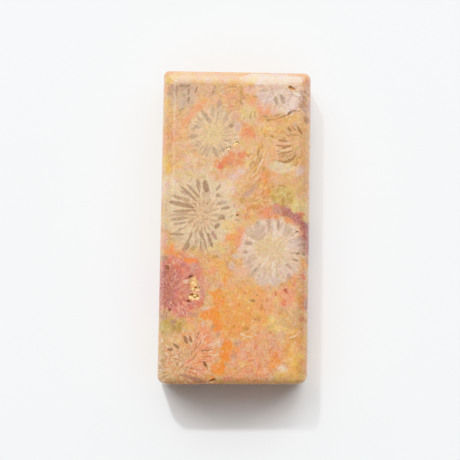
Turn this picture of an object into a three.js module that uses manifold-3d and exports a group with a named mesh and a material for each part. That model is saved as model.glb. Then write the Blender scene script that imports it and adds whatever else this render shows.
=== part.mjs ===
// A slice of fossil coral: one block of agatised stone, sawn, ground round along its edges and polished.
// Millimetres, +Z up out of the polished face, +Y along the block towards its head end.
// The origin is the centre of the flat underside.
import * as THREE from 'three';
import { mergeVertices } from 'three/addons/utils/BufferGeometryUtils.js';
import Module from 'manifold-3d';

const WIDTH = 33.45;
const LENGTH_LEFT = 70.9;
const LENGTH_RIGHT = 70.3;
const THICKNESS = 14;

// Radius of each upright corner, seen in plan. Hand grinding left no two alike.
const CORNER_RADIUS = { footLeft: 1.9, footRight: 2.0, headRight: 1.6, headLeft: 1.3 };
const CORNER_STEPS = 8;

// The edges are ground over from the polished face to the wall, and a little less towards the underside.
// At the foot end the face is only eased over, to a small depth.
// Reach is how far in from the wall a rounding starts, and depth how far it falls.
// The exponent is 2 for a round section. A lower one leaves it flatter, with a soft crease at each end.
// The corner radii shrink to innerCorner of themselves where the rounding meets the flat.
const TOP_ROUNDING = { reach: 3.3, depth: 3.3, exponent: 1.75, steps: 12, innerCorner: 0.1 };
const FOOT_ROUNDING = { reach: 2.3, depth: 0.9, exponent: 2.0 };
const BASE_ROUNDING = { reach: 2.2, depth: 2.2, exponent: 2.0, steps: 6, innerCorner: 0.35 };

// Open pockets in the stone. Each is a hollow ellipsoid with a ragged wall, centred on the surface.
const PITS = [
  { name: 'crystal pocket, larger', x: -8.8, y: -15.9, length: 2.2, width: 1.3, depth: 0.5, turn: -12 },
  { name: 'crystal pocket, smaller', x: -8.3, y: -14.2, length: 1.7, width: 1.0, depth: 0.4, turn: 18 },
  { name: 'split crystal, lower half', x: -1.7, y: 17.5, length: 1.5, width: 0.8, depth: 0.35, turn: 38 },
  { name: 'split crystal, upper half', x: -0.1, y: 18.6, length: 1.6, width: 0.8, depth: 0.35, turn: 32 },
  { name: 'slanted brown pit', x: 12.35, y: 31.3, length: 1.9, width: 0.9, depth: 0.6, turn: -33 },
  { name: 'red-rimmed dot', x: 0.55, y: 2.4, length: 0.7, width: 0.6, depth: 0.4, turn: 0 },
  { name: 'dot at the right edge', x: 13.9, y: -1.2, length: 0.9, width: 0.7, depth: 0.4, turn: 20 },
  { name: 'pit by the foot', x: -4.4, y: -34.5, length: 1.6, width: 0.8, depth: 0.5, turn: 25 },
  { name: 'petal gap, head side', x: -9.7, y: -11.6, length: 1.2, width: 0.6, depth: 0.35, turn: 30 },
  { name: 'petal gap, foot side', x: -9.8, y: -17.2, length: 1.3, width: 0.6, depth: 0.35, turn: -35 },
];
const PIT_DETAIL = 2;
const RAGGEDNESS = 0.16;
const RAGGED_WAVES = { x: 5, y: 4, z: 7 };

const HALF_WIDTH = WIDTH / 2;
const HEAD_Y = LENGTH_LEFT / 2;
const FOOT_LEFT_Y = HEAD_Y - LENGTH_LEFT;
const FOOT_RIGHT_Y = HEAD_Y - LENGTH_RIGHT;

// Corners in order, counter-clockwise from above. xSide and ySide say which way each corner points.
const CORNERS = [
  { x: -HALF_WIDTH, y: FOOT_LEFT_Y, xSide: -1, ySide: -1, radius: CORNER_RADIUS.footLeft },
  { x: HALF_WIDTH, y: FOOT_RIGHT_Y, xSide: 1, ySide: -1, radius: CORNER_RADIUS.footRight },
  { x: HALF_WIDTH, y: HEAD_Y, xSide: 1, ySide: 1, radius: CORNER_RADIUS.headRight },
  { x: -HALF_WIDTH, y: HEAD_Y, xSide: -1, ySide: 1, radius: CORNER_RADIUS.headLeft },
];
const QUARTER_TURN = Math.PI / 2;
const FIRST_ARC_START = Math.PI;

// One closed loop of points round the block, this far in from its walls, with footInset for the foot wall.
// The share scales the corner radii.
function loopAt(inset, footInset, share) {
  const points = [];
  CORNERS.forEach((corner, index) => {
    const radius = corner.radius * share;
    const endInset = corner.ySide < 0 ? footInset : inset;
    const centreX = corner.x - corner.xSide * (inset + radius);
    const centreY = corner.y - corner.ySide * (endInset + radius);
    const start = FIRST_ARC_START + index * QUARTER_TURN;
    for (let step = 0; step <= CORNER_STEPS; step += 1) {
      const angle = start + (step / CORNER_STEPS) * QUARTER_TURN;
      points.push(new THREE.Vector2(centreX + radius * Math.cos(angle), centreY + radius * Math.sin(angle)));
    }
  });
  return points;
}

// How far below its plane the rounding lies, at this distance in from the wall.
function drop(rounding, inset) {
  const inwards = Math.min(1, Math.max(0, 1 - inset / rounding.reach));
  return rounding.depth * (1 - (1 - inwards ** rounding.exponent) ** (1 / rounding.exponent));
}

// The other way round: how far in from the wall the rounding is, at this depth below its plane.
function insetAt(rounding, depth) {
  const upwards = Math.max(0, 1 - depth / rounding.depth);
  return rounding.reach * (1 - (1 - upwards ** rounding.exponent) ** (1 / rounding.exponent));
}

// Insets from the wall to the inner end of a rounding, closest together near the wall, where it is steepest.
function insets(rounding) {
  const list = [];
  for (let step = 0; step <= rounding.steps; step += 1) {
    const angle = (step / rounding.steps) * QUARTER_TURN;
    list.push(rounding.reach * (1 - Math.cos(angle)));
  }
  return list;
}

function cornerShare(rounding, inset) {
  return 1 - (1 - rounding.innerCorner) * (inset / rounding.reach);
}

// The loops from the underside, out to the wall, up it and in over the top edge.
function levels() {
  const base = insets(BASE_ROUNDING).reverse().map((inset) => ({
    z: drop(BASE_ROUNDING, inset),
    points: loopAt(inset, inset, cornerShare(BASE_ROUNDING, inset)),
  }));
  const top = insets(TOP_ROUNDING).map((inset) => {
    const depth = drop(TOP_ROUNDING, inset);
    const footInset = insetAt(FOOT_ROUNDING, depth);
    return { z: THICKNESS - depth, points: loopAt(inset, footInset, cornerShare(TOP_ROUNDING, inset)) };
  });
  return [...base, ...top];
}

function blockGeometry() {
  const loops = levels();
  const count = loops[0].points.length;
  const position = [];
  for (const loop of loops) {
    for (const point of loop.points) {
      position.push(point.x, point.y, loop.z);
    }
  }
  const index = [];
  for (let level = 0; level + 1 < loops.length; level += 1) {
    for (let i = 0; i < count; i += 1) {
      const next = (i + 1) % count;
      const low = level * count;
      const high = low + count;
      index.push(low + i, low + next, high + next);
      index.push(low + i, high + next, high + i);
    }
  }
  const topStart = (loops.length - 1) * count;
  for (const [a, b, c] of THREE.ShapeUtils.triangulateShape(loops[0].points, [])) {
    index.push(a, c, b);
  }
  for (const [a, b, c] of THREE.ShapeUtils.triangulateShape(loops[loops.length - 1].points, [])) {
    index.push(topStart + a, topStart + b, topStart + c);
  }
  const geometry = new THREE.BufferGeometry();
  geometry.setAttribute('position', new THREE.Float32BufferAttribute(position, 3));
  geometry.setIndex(index);
  return geometry;
}

// Height of the polished surface over a point of the plan, on the flat or on the rounding.
function surfaceHeight(x, y) {
  const footY = THREE.MathUtils.mapLinear(x, -HALF_WIDTH, HALF_WIDTH, FOOT_LEFT_Y, FOOT_RIGHT_Y);
  const inset = Math.min(HALF_WIDTH - Math.abs(x), HEAD_Y - y);
  return THICKNESS - Math.max(drop(TOP_ROUNDING, inset), drop(FOOT_ROUNDING, y - footY));
}

function pitGeometry(pit) {
  const geometry = new THREE.IcosahedronGeometry(1, PIT_DETAIL);
  const place = geometry.getAttribute('position');
  const point = new THREE.Vector3();
  for (let i = 0; i < place.count; i += 1) {
    point.fromBufferAttribute(place, i);
    const across = Math.sin(RAGGED_WAVES.x * point.x + pit.x) * Math.sin(RAGGED_WAVES.y * point.y + pit.y);
    const down = Math.sin(RAGGED_WAVES.z * point.z + pit.x);
    point.multiplyScalar(1 + RAGGEDNESS * (across + down / 2));
    place.setXYZ(i, point.x, point.y, point.z);
  }
  geometry.scale(pit.length / 2, pit.width / 2, pit.depth);
  geometry.rotateZ(THREE.MathUtils.degToRad(pit.turn));
  geometry.translate(pit.x, pit.y, surfaceHeight(pit.x, pit.y));
  return geometry;
}

const MERGE_DISTANCE = 1e-4;
const wasm = await Module();
wasm.setup();

function toSolid(geometry) {
  geometry.deleteAttribute('normal');
  geometry.deleteAttribute('uv');
  const merged = mergeVertices(geometry, MERGE_DISTANCE);
  const vertProperties = new Float32Array(merged.getAttribute('position').array);
  const triVerts = new Uint32Array(merged.getIndex().array);
  return new wasm.Manifold(new wasm.Mesh({ numProp: 3, vertProperties, triVerts }));
}

function toGeometry(solid) {
  const mesh = solid.getMesh();
  const geometry = new THREE.BufferGeometry();
  geometry.setAttribute('position', new THREE.Float32BufferAttribute(mesh.vertProperties, 3));
  geometry.setIndex(Array.from(mesh.triVerts));
  geometry.computeVertexNormals();
  return geometry;
}

let block = toSolid(blockGeometry());
for (const pit of PITS) {
  block = block.subtract(toSolid(pitGeometry(pit)));
}

const stone = new THREE.MeshStandardMaterial({ color: 0xd8ab7c, roughness: 0.18, metalness: 0 });
const slice = new THREE.Mesh(toGeometry(block), stone);
slice.name = 'coral_slice';

const group = new THREE.Group();
group.add(slice);

export default group;
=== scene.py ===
# %% [markdown]
# A slice of fossil coral, sawn, ground and polished, lying on a pale table. The real thing is one piece
# of stone, so this lesson makes one mesh and spends most of its cells on the stone's colours. Sizes are
# written in millimetres, as on a workbench, and brought to metres where Blender needs them.

# %% Load the frame
import math
import random

import bmesh
import bpy
from mathutils import Matrix, Vector


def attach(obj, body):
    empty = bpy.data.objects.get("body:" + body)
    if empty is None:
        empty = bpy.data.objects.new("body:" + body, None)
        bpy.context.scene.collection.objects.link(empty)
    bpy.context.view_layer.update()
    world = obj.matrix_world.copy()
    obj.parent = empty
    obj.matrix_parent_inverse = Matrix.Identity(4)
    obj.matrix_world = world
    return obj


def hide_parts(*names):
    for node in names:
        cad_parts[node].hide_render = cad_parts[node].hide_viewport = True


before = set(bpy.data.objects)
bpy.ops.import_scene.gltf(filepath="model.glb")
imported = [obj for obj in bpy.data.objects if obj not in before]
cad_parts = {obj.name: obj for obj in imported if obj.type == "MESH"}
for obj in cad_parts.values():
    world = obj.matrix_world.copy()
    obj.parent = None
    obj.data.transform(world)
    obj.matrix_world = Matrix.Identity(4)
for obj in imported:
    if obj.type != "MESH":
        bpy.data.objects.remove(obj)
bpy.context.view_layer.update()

MM = 0.001
scene = bpy.context.scene

# %% [markdown]
# The camera stands almost straight above the block, tilted a few degrees from the foot end, far enough
# away that the picture is nearly flat. A camera could be aimed with a tracking constraint, but a plain
# matrix says the same in one line: where the eye is, how far it tilts, and how far it is rolled.

# %% Camera
EYE = Vector((-1.078, -42.747, 411.708)) * MM
CAMERA_TILT = math.radians(6.0)
CAMERA_ROLL = math.radians(0.999)
CAMERA_LENS = 140.233
SENSOR_WIDTH = 36.0

camera = bpy.data.objects.new("camera", bpy.data.cameras.new("camera"))
scene.collection.objects.link(camera)
camera.matrix_world = (
    Matrix.Translation(EYE) @ Matrix.Rotation(CAMERA_TILT, 4, "X") @ Matrix.Rotation(CAMERA_ROLL, 4, "Z")
)
camera.data.lens = CAMERA_LENS
camera.data.sensor_width = SENSOR_WIDTH
scene.camera = camera

# %% [markdown]
# The table is a plain white sheet, and its only job is to catch the shadow. It is one plane, large
# enough that its edge is never seen, with a matt white.

# %% Table
TABLE_SIZE = 4.0
TABLE_WHITE = (0.872, 0.895, 0.908, 1.0)
TABLE_ROUGHNESS = 0.75
TABLE_GLOSS = 0.2

bpy.ops.object.select_all(action="DESELECT")
bpy.ops.mesh.primitive_plane_add(size=TABLE_SIZE, location=(0, 0, 0))
table = bpy.context.object
table.name = "table"
table_finish = bpy.data.materials.new("white_table")
table_finish.use_nodes = True
enamel = table_finish.node_tree.nodes["Principled BSDF"]
enamel.inputs["Base Color"].default_value = TABLE_WHITE
enamel.inputs["Roughness"].default_value = TABLE_ROUGHNESS
enamel.inputs["Specular IOR Level"].default_value = TABLE_GLOSS
table.data.materials.append(table_finish)
print("table:", TABLE_SIZE, "m across")

# %% [markdown]
# The light in a product photo is bright and nearly white. Here it comes from one side, as from a row of
# windows beyond the head end: one small hard light draws the crisp shadow at the foot, and soft boxes
# beside it, low and high, make that shadow paler towards its far end. The low one straight ahead is also
# what the polished head edge mirrors. A faint orange light from the foot side stands for light thrown back
# by something warm, and takes the chill off the shadow. The pale sky of the room does the rest.

# %% Light


def light_from(name, azimuth, elevation, distance, size, brightness, colour=(1, 1, 1)):
    """A square area light aimed at the block. Azimuth is counted from +X towards +Y, in degrees.

    Brightness is how much of full white it alone makes of a white table under it.
    """
    turn, lift = math.radians(azimuth), math.radians(elevation)
    lamp = bpy.data.lights.new(name, "AREA")
    lamp.size = size
    lamp.color = colour
    lamp.energy = brightness * (math.pi * distance) ** 2 / math.sin(lift)
    way = Vector((math.cos(lift) * math.cos(turn), math.cos(lift) * math.sin(turn), math.sin(lift)))
    stand = bpy.data.objects.new(name, lamp)
    stand.location = way * distance
    stand.rotation_euler = way.to_track_quat("Z", "Y").to_euler()
    scene.collection.objects.link(stand)
    return stand


light_from("key", azimuth=113.5, elevation=52.5, distance=0.8, size=0.045, brightness=0.30)
# Name: azimuth, elevation, brightness
SOFT_BOXES = {
    "low ahead": (90, 22, 0.26),
    "low right": (48, 25, 0.19),
    "low left": (132, 25, 0.17),
    "mid left": (132, 48, 0.32),
    "mid right": (52, 48, 0.20),
    "high": (90, 68, 0.10),
}
for name, (azimuth, elevation, brightness) in SOFT_BOXES.items():
    light_from(name, azimuth, elevation, distance=0.9, size=0.63, brightness=brightness)
WARM = (1.0, 0.45, 0.2)
light_from("warm card", azimuth=270, elevation=12, distance=1.6, size=0.96, brightness=0.036, colour=WARM)

# %% Sky and film
SKY_COLOUR = (0.97, 0.99, 1.0, 1.0)
SKY_STRENGTH = 0.30

sky = bpy.data.worlds.new("sky")
sky.use_nodes = True
sky.node_tree.nodes["Background"].inputs["Color"].default_value = SKY_COLOUR
sky.node_tree.nodes["Background"].inputs["Strength"].default_value = SKY_STRENGTH
scene.world = sky
scene.view_settings.view_transform = "Khronos PBR Neutral"
print("sky:", SKY_STRENGTH, "and film:", scene.view_settings.view_transform)

# %% [markdown]
# The block itself is a rectangle with small upright corners, ground over at its edges. One way is to
# bevel a cube, but the rounding of the top edge is wider than the corner radius, so the bevels would
# run into each other. Instead the block is built as a stack of outlines, as a potter builds with coils:
# each outline is a plane whose corners are beveled round, and the stack is bridged into a skin.

# %% Sizes of the block
WIDTH = 33.45
LENGTH_LEFT = 70.9
LENGTH_RIGHT = 70.3
THICKNESS = 14.0
CORNER_RADIUS = {(-1, -1): 1.9, (1, -1): 2.0, (1, 1): 1.6, (-1, 1): 1.3}
CORNER_STEPS = 8
HALF_WIDTH = WIDTH / 2
HEAD_Y = LENGTH_LEFT / 2
FOOT_Y = {-1: HEAD_Y - LENGTH_LEFT, 1: HEAD_Y - LENGTH_RIGHT}

# A rounding starts its reach in from the wall and falls by its depth. At the foot end the face is only
# eased over. An exponent of 2 would be a quarter of an ellipse. A lower one leaves it flatter, with a soft
# crease where it meets the face. At its inner end the corner radius has shrunk to the share named
# inner_corner, so that the creases of two sides run into each other like a mitre.
TOP_ROUNDING = {"reach": 3.3, "depth": 3.3, "exponent": 1.75, "steps": 16, "inner_corner": 0.1}
FOOT_ROUNDING = {"reach": 2.3, "depth": 0.9, "exponent": 2.0}
BASE_ROUNDING = {"reach": 2.2, "depth": 2.2, "exponent": 2.0, "steps": 10, "inner_corner": 0.35}
# How far inside its rim the face gets a second outline, which keeps the shading of the flat even
SUPPORT_INSET = 0.3
print("block:", WIDTH, "by", LENGTH_LEFT, "by", THICKNESS, "mm")

# %% Helpers for outlines
# Two points count as the same, and a height as that of a flat, within this distance, mm
SAME = 1e-3


def select_where(block, test):
    """In edit mode, selects the vertices that pass the test, with the edges and faces between them."""
    mesh = bmesh.from_edit_mesh(block.data)
    for vertex in mesh.verts:
        vertex.select = test(vertex.co)
    mesh.select_flush_mode()
    bmesh.update_edit_mesh(block.data)
    return sum(vertex.select for vertex in mesh.verts)


def drop(rounding, inset):
    """How far below its plane the rounding lies, at this distance in from the wall."""
    inwards = min(1.0, max(0.0, 1 - inset / rounding["reach"]))
    power = rounding["exponent"]
    return rounding["depth"] * (1 - (1 - inwards ** power) ** (1 / power))


def inset_at(rounding, depth):
    """The other way round: how far in from the wall the rounding is, at this depth below its plane."""
    upwards = max(0.0, 1 - depth / rounding["depth"])
    power = rounding["exponent"]
    return rounding["reach"] * (1 - (1 - upwards ** power) ** (1 / power))


def insets(rounding):
    """Distances in from the wall, closest together near the wall, where the rounding is steepest."""
    steps = rounding["steps"]
    return [rounding["reach"] * (1 - math.cos(step / steps * math.pi / 2)) for step in range(steps + 1)]


def corner_share(rounding, inset):
    """What share of its full radius a corner has left, at this distance in from the wall."""
    return 1 - (1 - rounding["inner_corner"]) * min(1.0, inset / rounding["reach"])


# %% One outline


def add_outline(block, height, inset, foot_inset, share):
    """Adds one closed outline at this height: a plane, brought to size, its corners beveled round."""
    bpy.ops.mesh.primitive_plane_add(size=2, location=(0, 0, height))
    corners = []
    for side_x in (-1, 1):
        for side_y in (-1, 1):
            edge_y = HEAD_Y - inset if side_y > 0 else FOOT_Y[side_x] + foot_inset
            corner = Vector((side_x * (HALF_WIDTH - inset), edge_y, height))
            start = Vector((side_x, side_y, height))
            select_where(block, lambda co: (co - start).length < SAME)
            bpy.ops.transform.translate(value=corner - start)
            corners.append(((side_x, side_y), corner))
    for sides, corner in corners:
        select_where(block, lambda co: (co - corner).length < SAME)
        bpy.ops.mesh.bevel(
            offset=CORNER_RADIUS[sides] * share, segments=CORNER_STEPS, profile=0.5, affect="VERTICES"
        )


# %% Stack the outlines
bpy.ops.object.select_all(action="DESELECT")
bpy.ops.mesh.primitive_plane_add(size=1, location=(0, 0, 0))
block = bpy.context.object
block.name = "coral_block"
bpy.ops.object.mode_set(mode="EDIT")
bpy.ops.mesh.select_mode(type="VERT")
bpy.ops.mesh.select_all(action="SELECT")
bpy.ops.mesh.delete(type="VERT")

outlines = []
for inset in reversed(insets(BASE_ROUNDING)):
    outlines.append((drop(BASE_ROUNDING, inset), inset, inset, corner_share(BASE_ROUNDING, inset)))
for inset in insets(TOP_ROUNDING):
    depth = drop(TOP_ROUNDING, inset)
    foot_inset = inset_at(FOOT_ROUNDING, depth)
    outlines.append((THICKNESS - depth, inset, foot_inset, corner_share(TOP_ROUNDING, inset)))
for outline in outlines:
    add_outline(block, *outline)
LOW, HIGH = outlines[0][0], outlines[-1][0]
print(len(outlines), "outlines from", LOW, "to", HIGH, "mm")

# %% Bridge them into one closed skin
bpy.ops.mesh.select_mode(type="FACE")
mesh = bmesh.from_edit_mesh(block.data)
for face in mesh.faces:
    face.select = LOW + SAME < face.calc_center_median().z < HIGH - SAME
bmesh.update_edit_mesh(block.data)
bpy.ops.mesh.delete(type="ONLY_FACE")
bpy.ops.mesh.select_mode(type="EDGE")
bpy.ops.mesh.select_all(action="SELECT")
bpy.ops.mesh.bridge_edge_loops()
bpy.ops.mesh.select_mode(type="FACE")
mesh = bmesh.from_edit_mesh(block.data)
for face in mesh.faces:
    face.select = face.calc_center_median().z > HIGH - SAME
bmesh.update_edit_mesh(block.data)
bpy.ops.mesh.inset(thickness=SUPPORT_INSET)
bpy.ops.mesh.select_all(action="SELECT")
bpy.ops.mesh.normals_make_consistent(inside=False)
bpy.ops.object.mode_set(mode="OBJECT")
print("block:", len(block.data.vertices), "vertices,", len(block.data.polygons), "faces")

# %% [markdown]
# The polished face is not perfect: a few pockets stayed open when the stone was ground through them.
# They could be faked with dark paint, but a pocket seen from the side has a real wall. Each one is an
# uneven ball, pressed into the face and cut out with a Boolean, which is how a carver would think of it:
# what the tool takes away.

# %% Places of the pockets
# Name: x, y, length, width, depth, turn in degrees
POCKETS = {
    "larger crystal pocket": (-8.8, -15.9, 2.2, 1.3, 0.5, -12),
    "smaller crystal pocket": (-8.3, -14.2, 1.7, 1.0, 0.4, 18),
    "split crystal, lower half": (-1.7, 17.5, 1.5, 0.8, 0.35, 38),
    "split crystal, upper half": (-0.1, 18.6, 1.6, 0.8, 0.35, 32),
    "slanted brown pit": (12.35, 31.3, 1.9, 0.9, 0.6, -33),
    "red-rimmed dot": (0.55, 2.4, 0.7, 0.6, 0.4, 0),
    "dot at the right edge": (13.9, -1.2, 0.9, 0.7, 0.4, 20),
    "pit by the foot": (-4.4, -34.5, 1.6, 0.8, 0.5, 25),
    "petal gap, head side": (-9.7, -11.6, 1.2, 0.6, 0.35, 30),
    "petal gap, foot side": (-9.8, -17.2, 1.3, 0.6, 0.35, -35),
}


def surface_height(x, y):
    """Height of the polished surface over a point of the plan, on the flat or on the rounding."""
    foot = FOOT_Y[-1] + (x + HALF_WIDTH) / WIDTH * (FOOT_Y[1] - FOOT_Y[-1])
    inset = min(HALF_WIDTH - abs(x), HEAD_Y - y)
    return THICKNESS - max(drop(TOP_ROUNDING, inset), drop(FOOT_ROUNDING, y - foot))


print(len(POCKETS), "pockets")

# %% Balls that cut them
POCKET_RAGGED = 0.12


def ragged_ball(seed, place, size, turn):
    """A small uneven ball, used to cut a pocket."""
    bpy.ops.mesh.primitive_ico_sphere_add(
        subdivisions=2, radius=1, location=place, rotation=(0, 0, math.radians(turn)), scale=size
    )
    ball = bpy.context.object
    bpy.ops.object.mode_set(mode="EDIT")
    bpy.ops.transform.vertex_random(offset=POCKET_RAGGED, uniform=0.0, normal=0.0, seed=seed)
    bpy.ops.mesh.subdivide(number_cuts=1, smoothness=1.0)
    bpy.ops.object.mode_set(mode="OBJECT")
    return ball


cutters = []
for seed, (x, y, length, width, depth, turn) in enumerate(POCKETS.values(), start=1):
    place = (x, y, surface_height(x, y))
    cutters.append(ragged_ball(seed, place, (length / 2, width / 2, depth), turn))
print(len(cutters), "balls, ragged by", POCKET_RAGGED, "of their radius")

# %% Carve the pockets
bpy.ops.object.select_all(action="DESELECT")
for cutter in cutters:
    cutter.select_set(True)
bpy.context.view_layer.objects.active = cutters[0]
bpy.ops.object.join()
cutter = bpy.context.object

bpy.ops.object.select_all(action="DESELECT")
block.select_set(True)
bpy.context.view_layer.objects.active = block
carve = block.modifiers.new("carve", "BOOLEAN")
carve.operation = "DIFFERENCE"
carve.solver = "EXACT"
carve.use_self = True
carve.object = cutter
bpy.ops.object.modifier_apply(modifier="carve")
bpy.data.objects.remove(cutter)
print("with pockets:", len(block.data.polygons), "faces")

# %% [markdown]
# Four of the pockets glint gold, because small crystals grew in them before the stone was cut. A crystal
# is a six-sided cone with a blunt tip, a few tenths of a millimetre long. They stand on the floor of the
# pocket, lean at random and reach about as high as the polished face.

# %% Golden crystals
# Pocket: how many crystals line it
CRYSTALS = {
    "larger crystal pocket": 16,
    "smaller crystal pocket": 11,
    "split crystal, lower half": 7,
    "split crystal, upper half": 7,
}
CRYSTAL_RADIUS = 0.22
CRYSTAL_SIZES = (0.6, 1.15)
CRYSTAL_LEAN = 38
# Shares of the pocket's half size, depth and depth, and of the crystal's radius
CRYSTAL_SPREAD = 0.75
CRYSTAL_SINK = 0.62
CRYSTAL_HEIGHT = 0.9
CRYSTAL_TIP = 0.35

dice = random.Random(4)
crystals = []
for name, count in CRYSTALS.items():
    x, y, length, width, depth, turn = POCKETS[name]
    for _ in range(count):
        reach = CRYSTAL_SPREAD * math.sqrt(dice.random())
        spin = dice.uniform(0, 2 * math.pi)
        along, across = reach * math.cos(spin) * length / 2, reach * math.sin(spin) * width / 2
        yaw = math.radians(turn)
        at = Vector((
            x + along * math.cos(yaw) - across * math.sin(yaw),
            y + along * math.sin(yaw) + across * math.cos(yaw),
            surface_height(x, y) - depth * math.sqrt(1 - reach ** 2) * CRYSTAL_SINK,
        ))
        radius = CRYSTAL_RADIUS * dice.uniform(*CRYSTAL_SIZES)
        lean = [math.radians(dice.uniform(-CRYSTAL_LEAN, CRYSTAL_LEAN)) for _ in range(2)]
        bpy.ops.mesh.primitive_cone_add(
            vertices=6, radius1=radius, radius2=radius * CRYSTAL_TIP, depth=depth * CRYSTAL_HEIGHT,
            location=at, rotation=(*lean, dice.uniform(0, math.pi)),
        )
        crystals.append(bpy.context.object)
bpy.ops.object.select_all(action="DESELECT")
for crystal in crystals:
    crystal.select_set(True)
block.select_set(True)
bpy.context.view_layer.objects.active = block
bpy.ops.object.join()
print(len(crystals), "crystals set in the block")

# %% [markdown]
# The frame is in metres and the block was made in millimetres, so its mesh is scaled about the origin.
# The object itself stays unscaled. The long roundings are shaded smooth, and the pockets' broken walls
# and the crystals keep their edges, because only gentle angles are smoothed.

# %% Bring the block to metres, in the frame's place
SMOOTH_ANGLE = math.radians(30)

bpy.ops.object.mode_set(mode="EDIT")
bpy.ops.mesh.select_all(action="SELECT")
bpy.ops.transform.resize(value=(MM, MM, MM), center_override=(0, 0, 0))
bpy.ops.object.mode_set(mode="OBJECT")
bpy.ops.object.shade_smooth_by_angle(angle=SMOOTH_ANGLE)
print("block, mm:", [round(side / MM, 2) for side in block.dimensions])

# %% [markdown]
# Now the stone. Coral grows as a bundle of cups, and in this fossil each cup has turned to agate: a pale
# middle, a ring of dark petals where mud filled the gaps between the walls, and grainy coloured stone
# between the cups. The colours go right through, so the finish is a solid pattern: it reads the place
# inside the block, and a side wall shows the same tubes lengthwise.
#
# A photograph could be laid over the face, but then the sides would smear. So the pattern is painted by
# nodes, the way a decorator paints marble: a ground, soft patches, stains, grain, flowers, then veins and
# flecks.

# %% From the colour that is seen to the stone's own
# How much brighter than itself a paint looks on the polished face, in this light
LIGHT_ON_FACE = 1.5


def paint(red, green, blue):
    """The stone's own colour for a colour as it is seen."""
    # The usual curve between the numbers of a screen and the amount of light
    def own(value):
        share = value / 255
        linear = share / 12.92 if share < 0.04045 else ((share + 0.055) / 1.055) ** 2.4
        return linear / LIGHT_ON_FACE
    return (own(red), own(green), own(blue), 1.0)


# %% Palette
# Colours are written as they look in this studio, in 0 to 255, and paint() takes the light off them.
PAINTS = {
    "cream": paint(218, 192, 157),
    "pale cream": paint(234, 208, 178),
    "white": paint(242, 226, 210),
    "shell": paint(221, 195, 174),
    "blush": paint(228, 180, 148),
    "lavender": paint(213, 187, 172),
    "mauve": paint(200, 158, 140),
    "grey": paint(196, 168, 142),
    "peach": paint(221, 176, 132),
    "tan": paint(213, 167, 124),
    "sand": paint(207, 167, 127),
    "salmon": paint(235, 161, 118),
    "rose": paint(212, 134, 114),
    "deep rose": paint(191, 119, 108),
    "maroon": paint(180, 118, 106),
    "red": paint(220, 108, 80),
    "red orange": paint(224, 140, 96),
    "orange": paint(236, 154, 82),
    "bright orange": paint(244, 146, 56),
    "ochre": paint(217, 164, 106),
    "gold": paint(232, 171, 104),
    "yellow": paint(230, 188, 116),
    "lime": paint(217, 187, 132),
    "olive": paint(200, 166, 98),
    "moss": paint(180, 140, 80),
    "grey petal": paint(170, 142, 118),
    "brown petal": paint(160, 126, 98),
    "dusk": paint(186, 142, 120),
    "wine": paint(176, 108, 100),
    "flame": paint(248, 153, 74),
    "butter": paint(244, 202, 128),
    "dark brown": paint(140, 98, 70),
    "umber": paint(166, 124, 78),
    "bronze": paint(206, 136, 76),
    # Painted light: lighter than the pit's own brown, to paint out the shade inside the slanted pit
    "pit wall": paint(238, 186, 128),
    # Brighter than a paint can look in this light, so written straight: gold lightened into a painted
    # glint, which also lifts the shade in the pockets
    "crystal": (0.92, 0.74, 0.38, 1.0),
}
print(len(PAINTS), "paints")

# %% [markdown]
# Nodes are wired by hand in the shader editor, and in code each of them takes several lines. The stone
# needs hundreds, so a small class does the wiring: one call adds a node, plugs its inputs and hands back
# its output. Layers go in groups, as they would by hand, which keeps the tree readable. It also helps the
# renderer, which can hold only so many numbers while it works out one point of the stone.

# %% A bench for nodes
stone = bpy.data.materials.new("agatised_coral")
stone.use_nodes = True


class Bench:
    """A node tree to work in. Each call adds one node, plugs its inputs and returns its output."""

    def __init__(self, tree):
        self.tree = tree

    def plug(self, socket, value):
        if isinstance(value, bpy.types.NodeSocket):
            self.tree.links.new(value, socket)
        else:
            socket.default_value = value

    def node(self, kind, inputs, **settings):
        node = self.tree.nodes.new(kind)
        for name, value in settings.items():
            setattr(node, name, value)
        for key, value in inputs.items():
            self.plug(node.inputs[key], value)
        return node

    def add(self, kind, inputs, output=0, **settings):
        return self.node(kind, inputs, **settings).outputs[output]

    def group(self, tree, inputs):
        """An instance of a node group, with its inputs plugged."""
        node = self.node("ShaderNodeGroup", {}, node_tree=tree)
        for key, value in inputs.items():
            self.plug(node.inputs[key], value)
        return node.outputs

    def math(self, operation, *values):
        return self.add("ShaderNodeMath", dict(enumerate(values)), operation=operation)

    def vector(self, operation, *values, output=0):
        return self.add("ShaderNodeVectorMath", dict(enumerate(values)), output, operation=operation)

    def scaled(self, vector, factor):
        return self.add("ShaderNodeVectorMath", {0: vector, "Scale": factor}, operation="SCALE")

    def ease(self, value, start, end, low=0.0, high=1.0):
        """Goes smoothly from low to high as value goes from start to end."""
        return self.add(
            "ShaderNodeMapRange", {0: value, 1: start, 2: end, 3: low, 4: high},
            interpolation_type="SMOOTHSTEP", clamp=False,
        )

    def mix(self, under, over, share):
        return self.add("ShaderNodeMix", {0: share, 6: under, 7: over}, output=2, data_type="RGBA")

    def noise(self, point, scale, detail=2.0, roughness=0.5, colour=False):
        inputs = {"Vector": point, "Scale": scale, "Detail": detail, "Roughness": roughness}
        return self.add("ShaderNodeTexNoise", inputs, "Color" if colour else 0)

    def three_noises(self, point, scale, detail=2.0):
        """Three patterns of one grain that have nothing to do with each other."""
        colours = self.noise(point, scale, detail, colour=True)
        return self.node("ShaderNodeSeparateColor", {0: colours}).outputs

    def wander(self, point, scale, amount, detail=2.0):
        """Pushes the point about, so that what is drawn on it gets a natural, uneven edge."""
        push = self.vector("SUBTRACT", self.noise(point, scale, detail, colour=True), (0.5, 0.5, 0.5))
        return self.vector("MULTIPLY_ADD", push, (amount, amount, amount), point)


bench = Bench(stone.node_tree)
print("material:", stone.name)

# %% Helpers for groups


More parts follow.
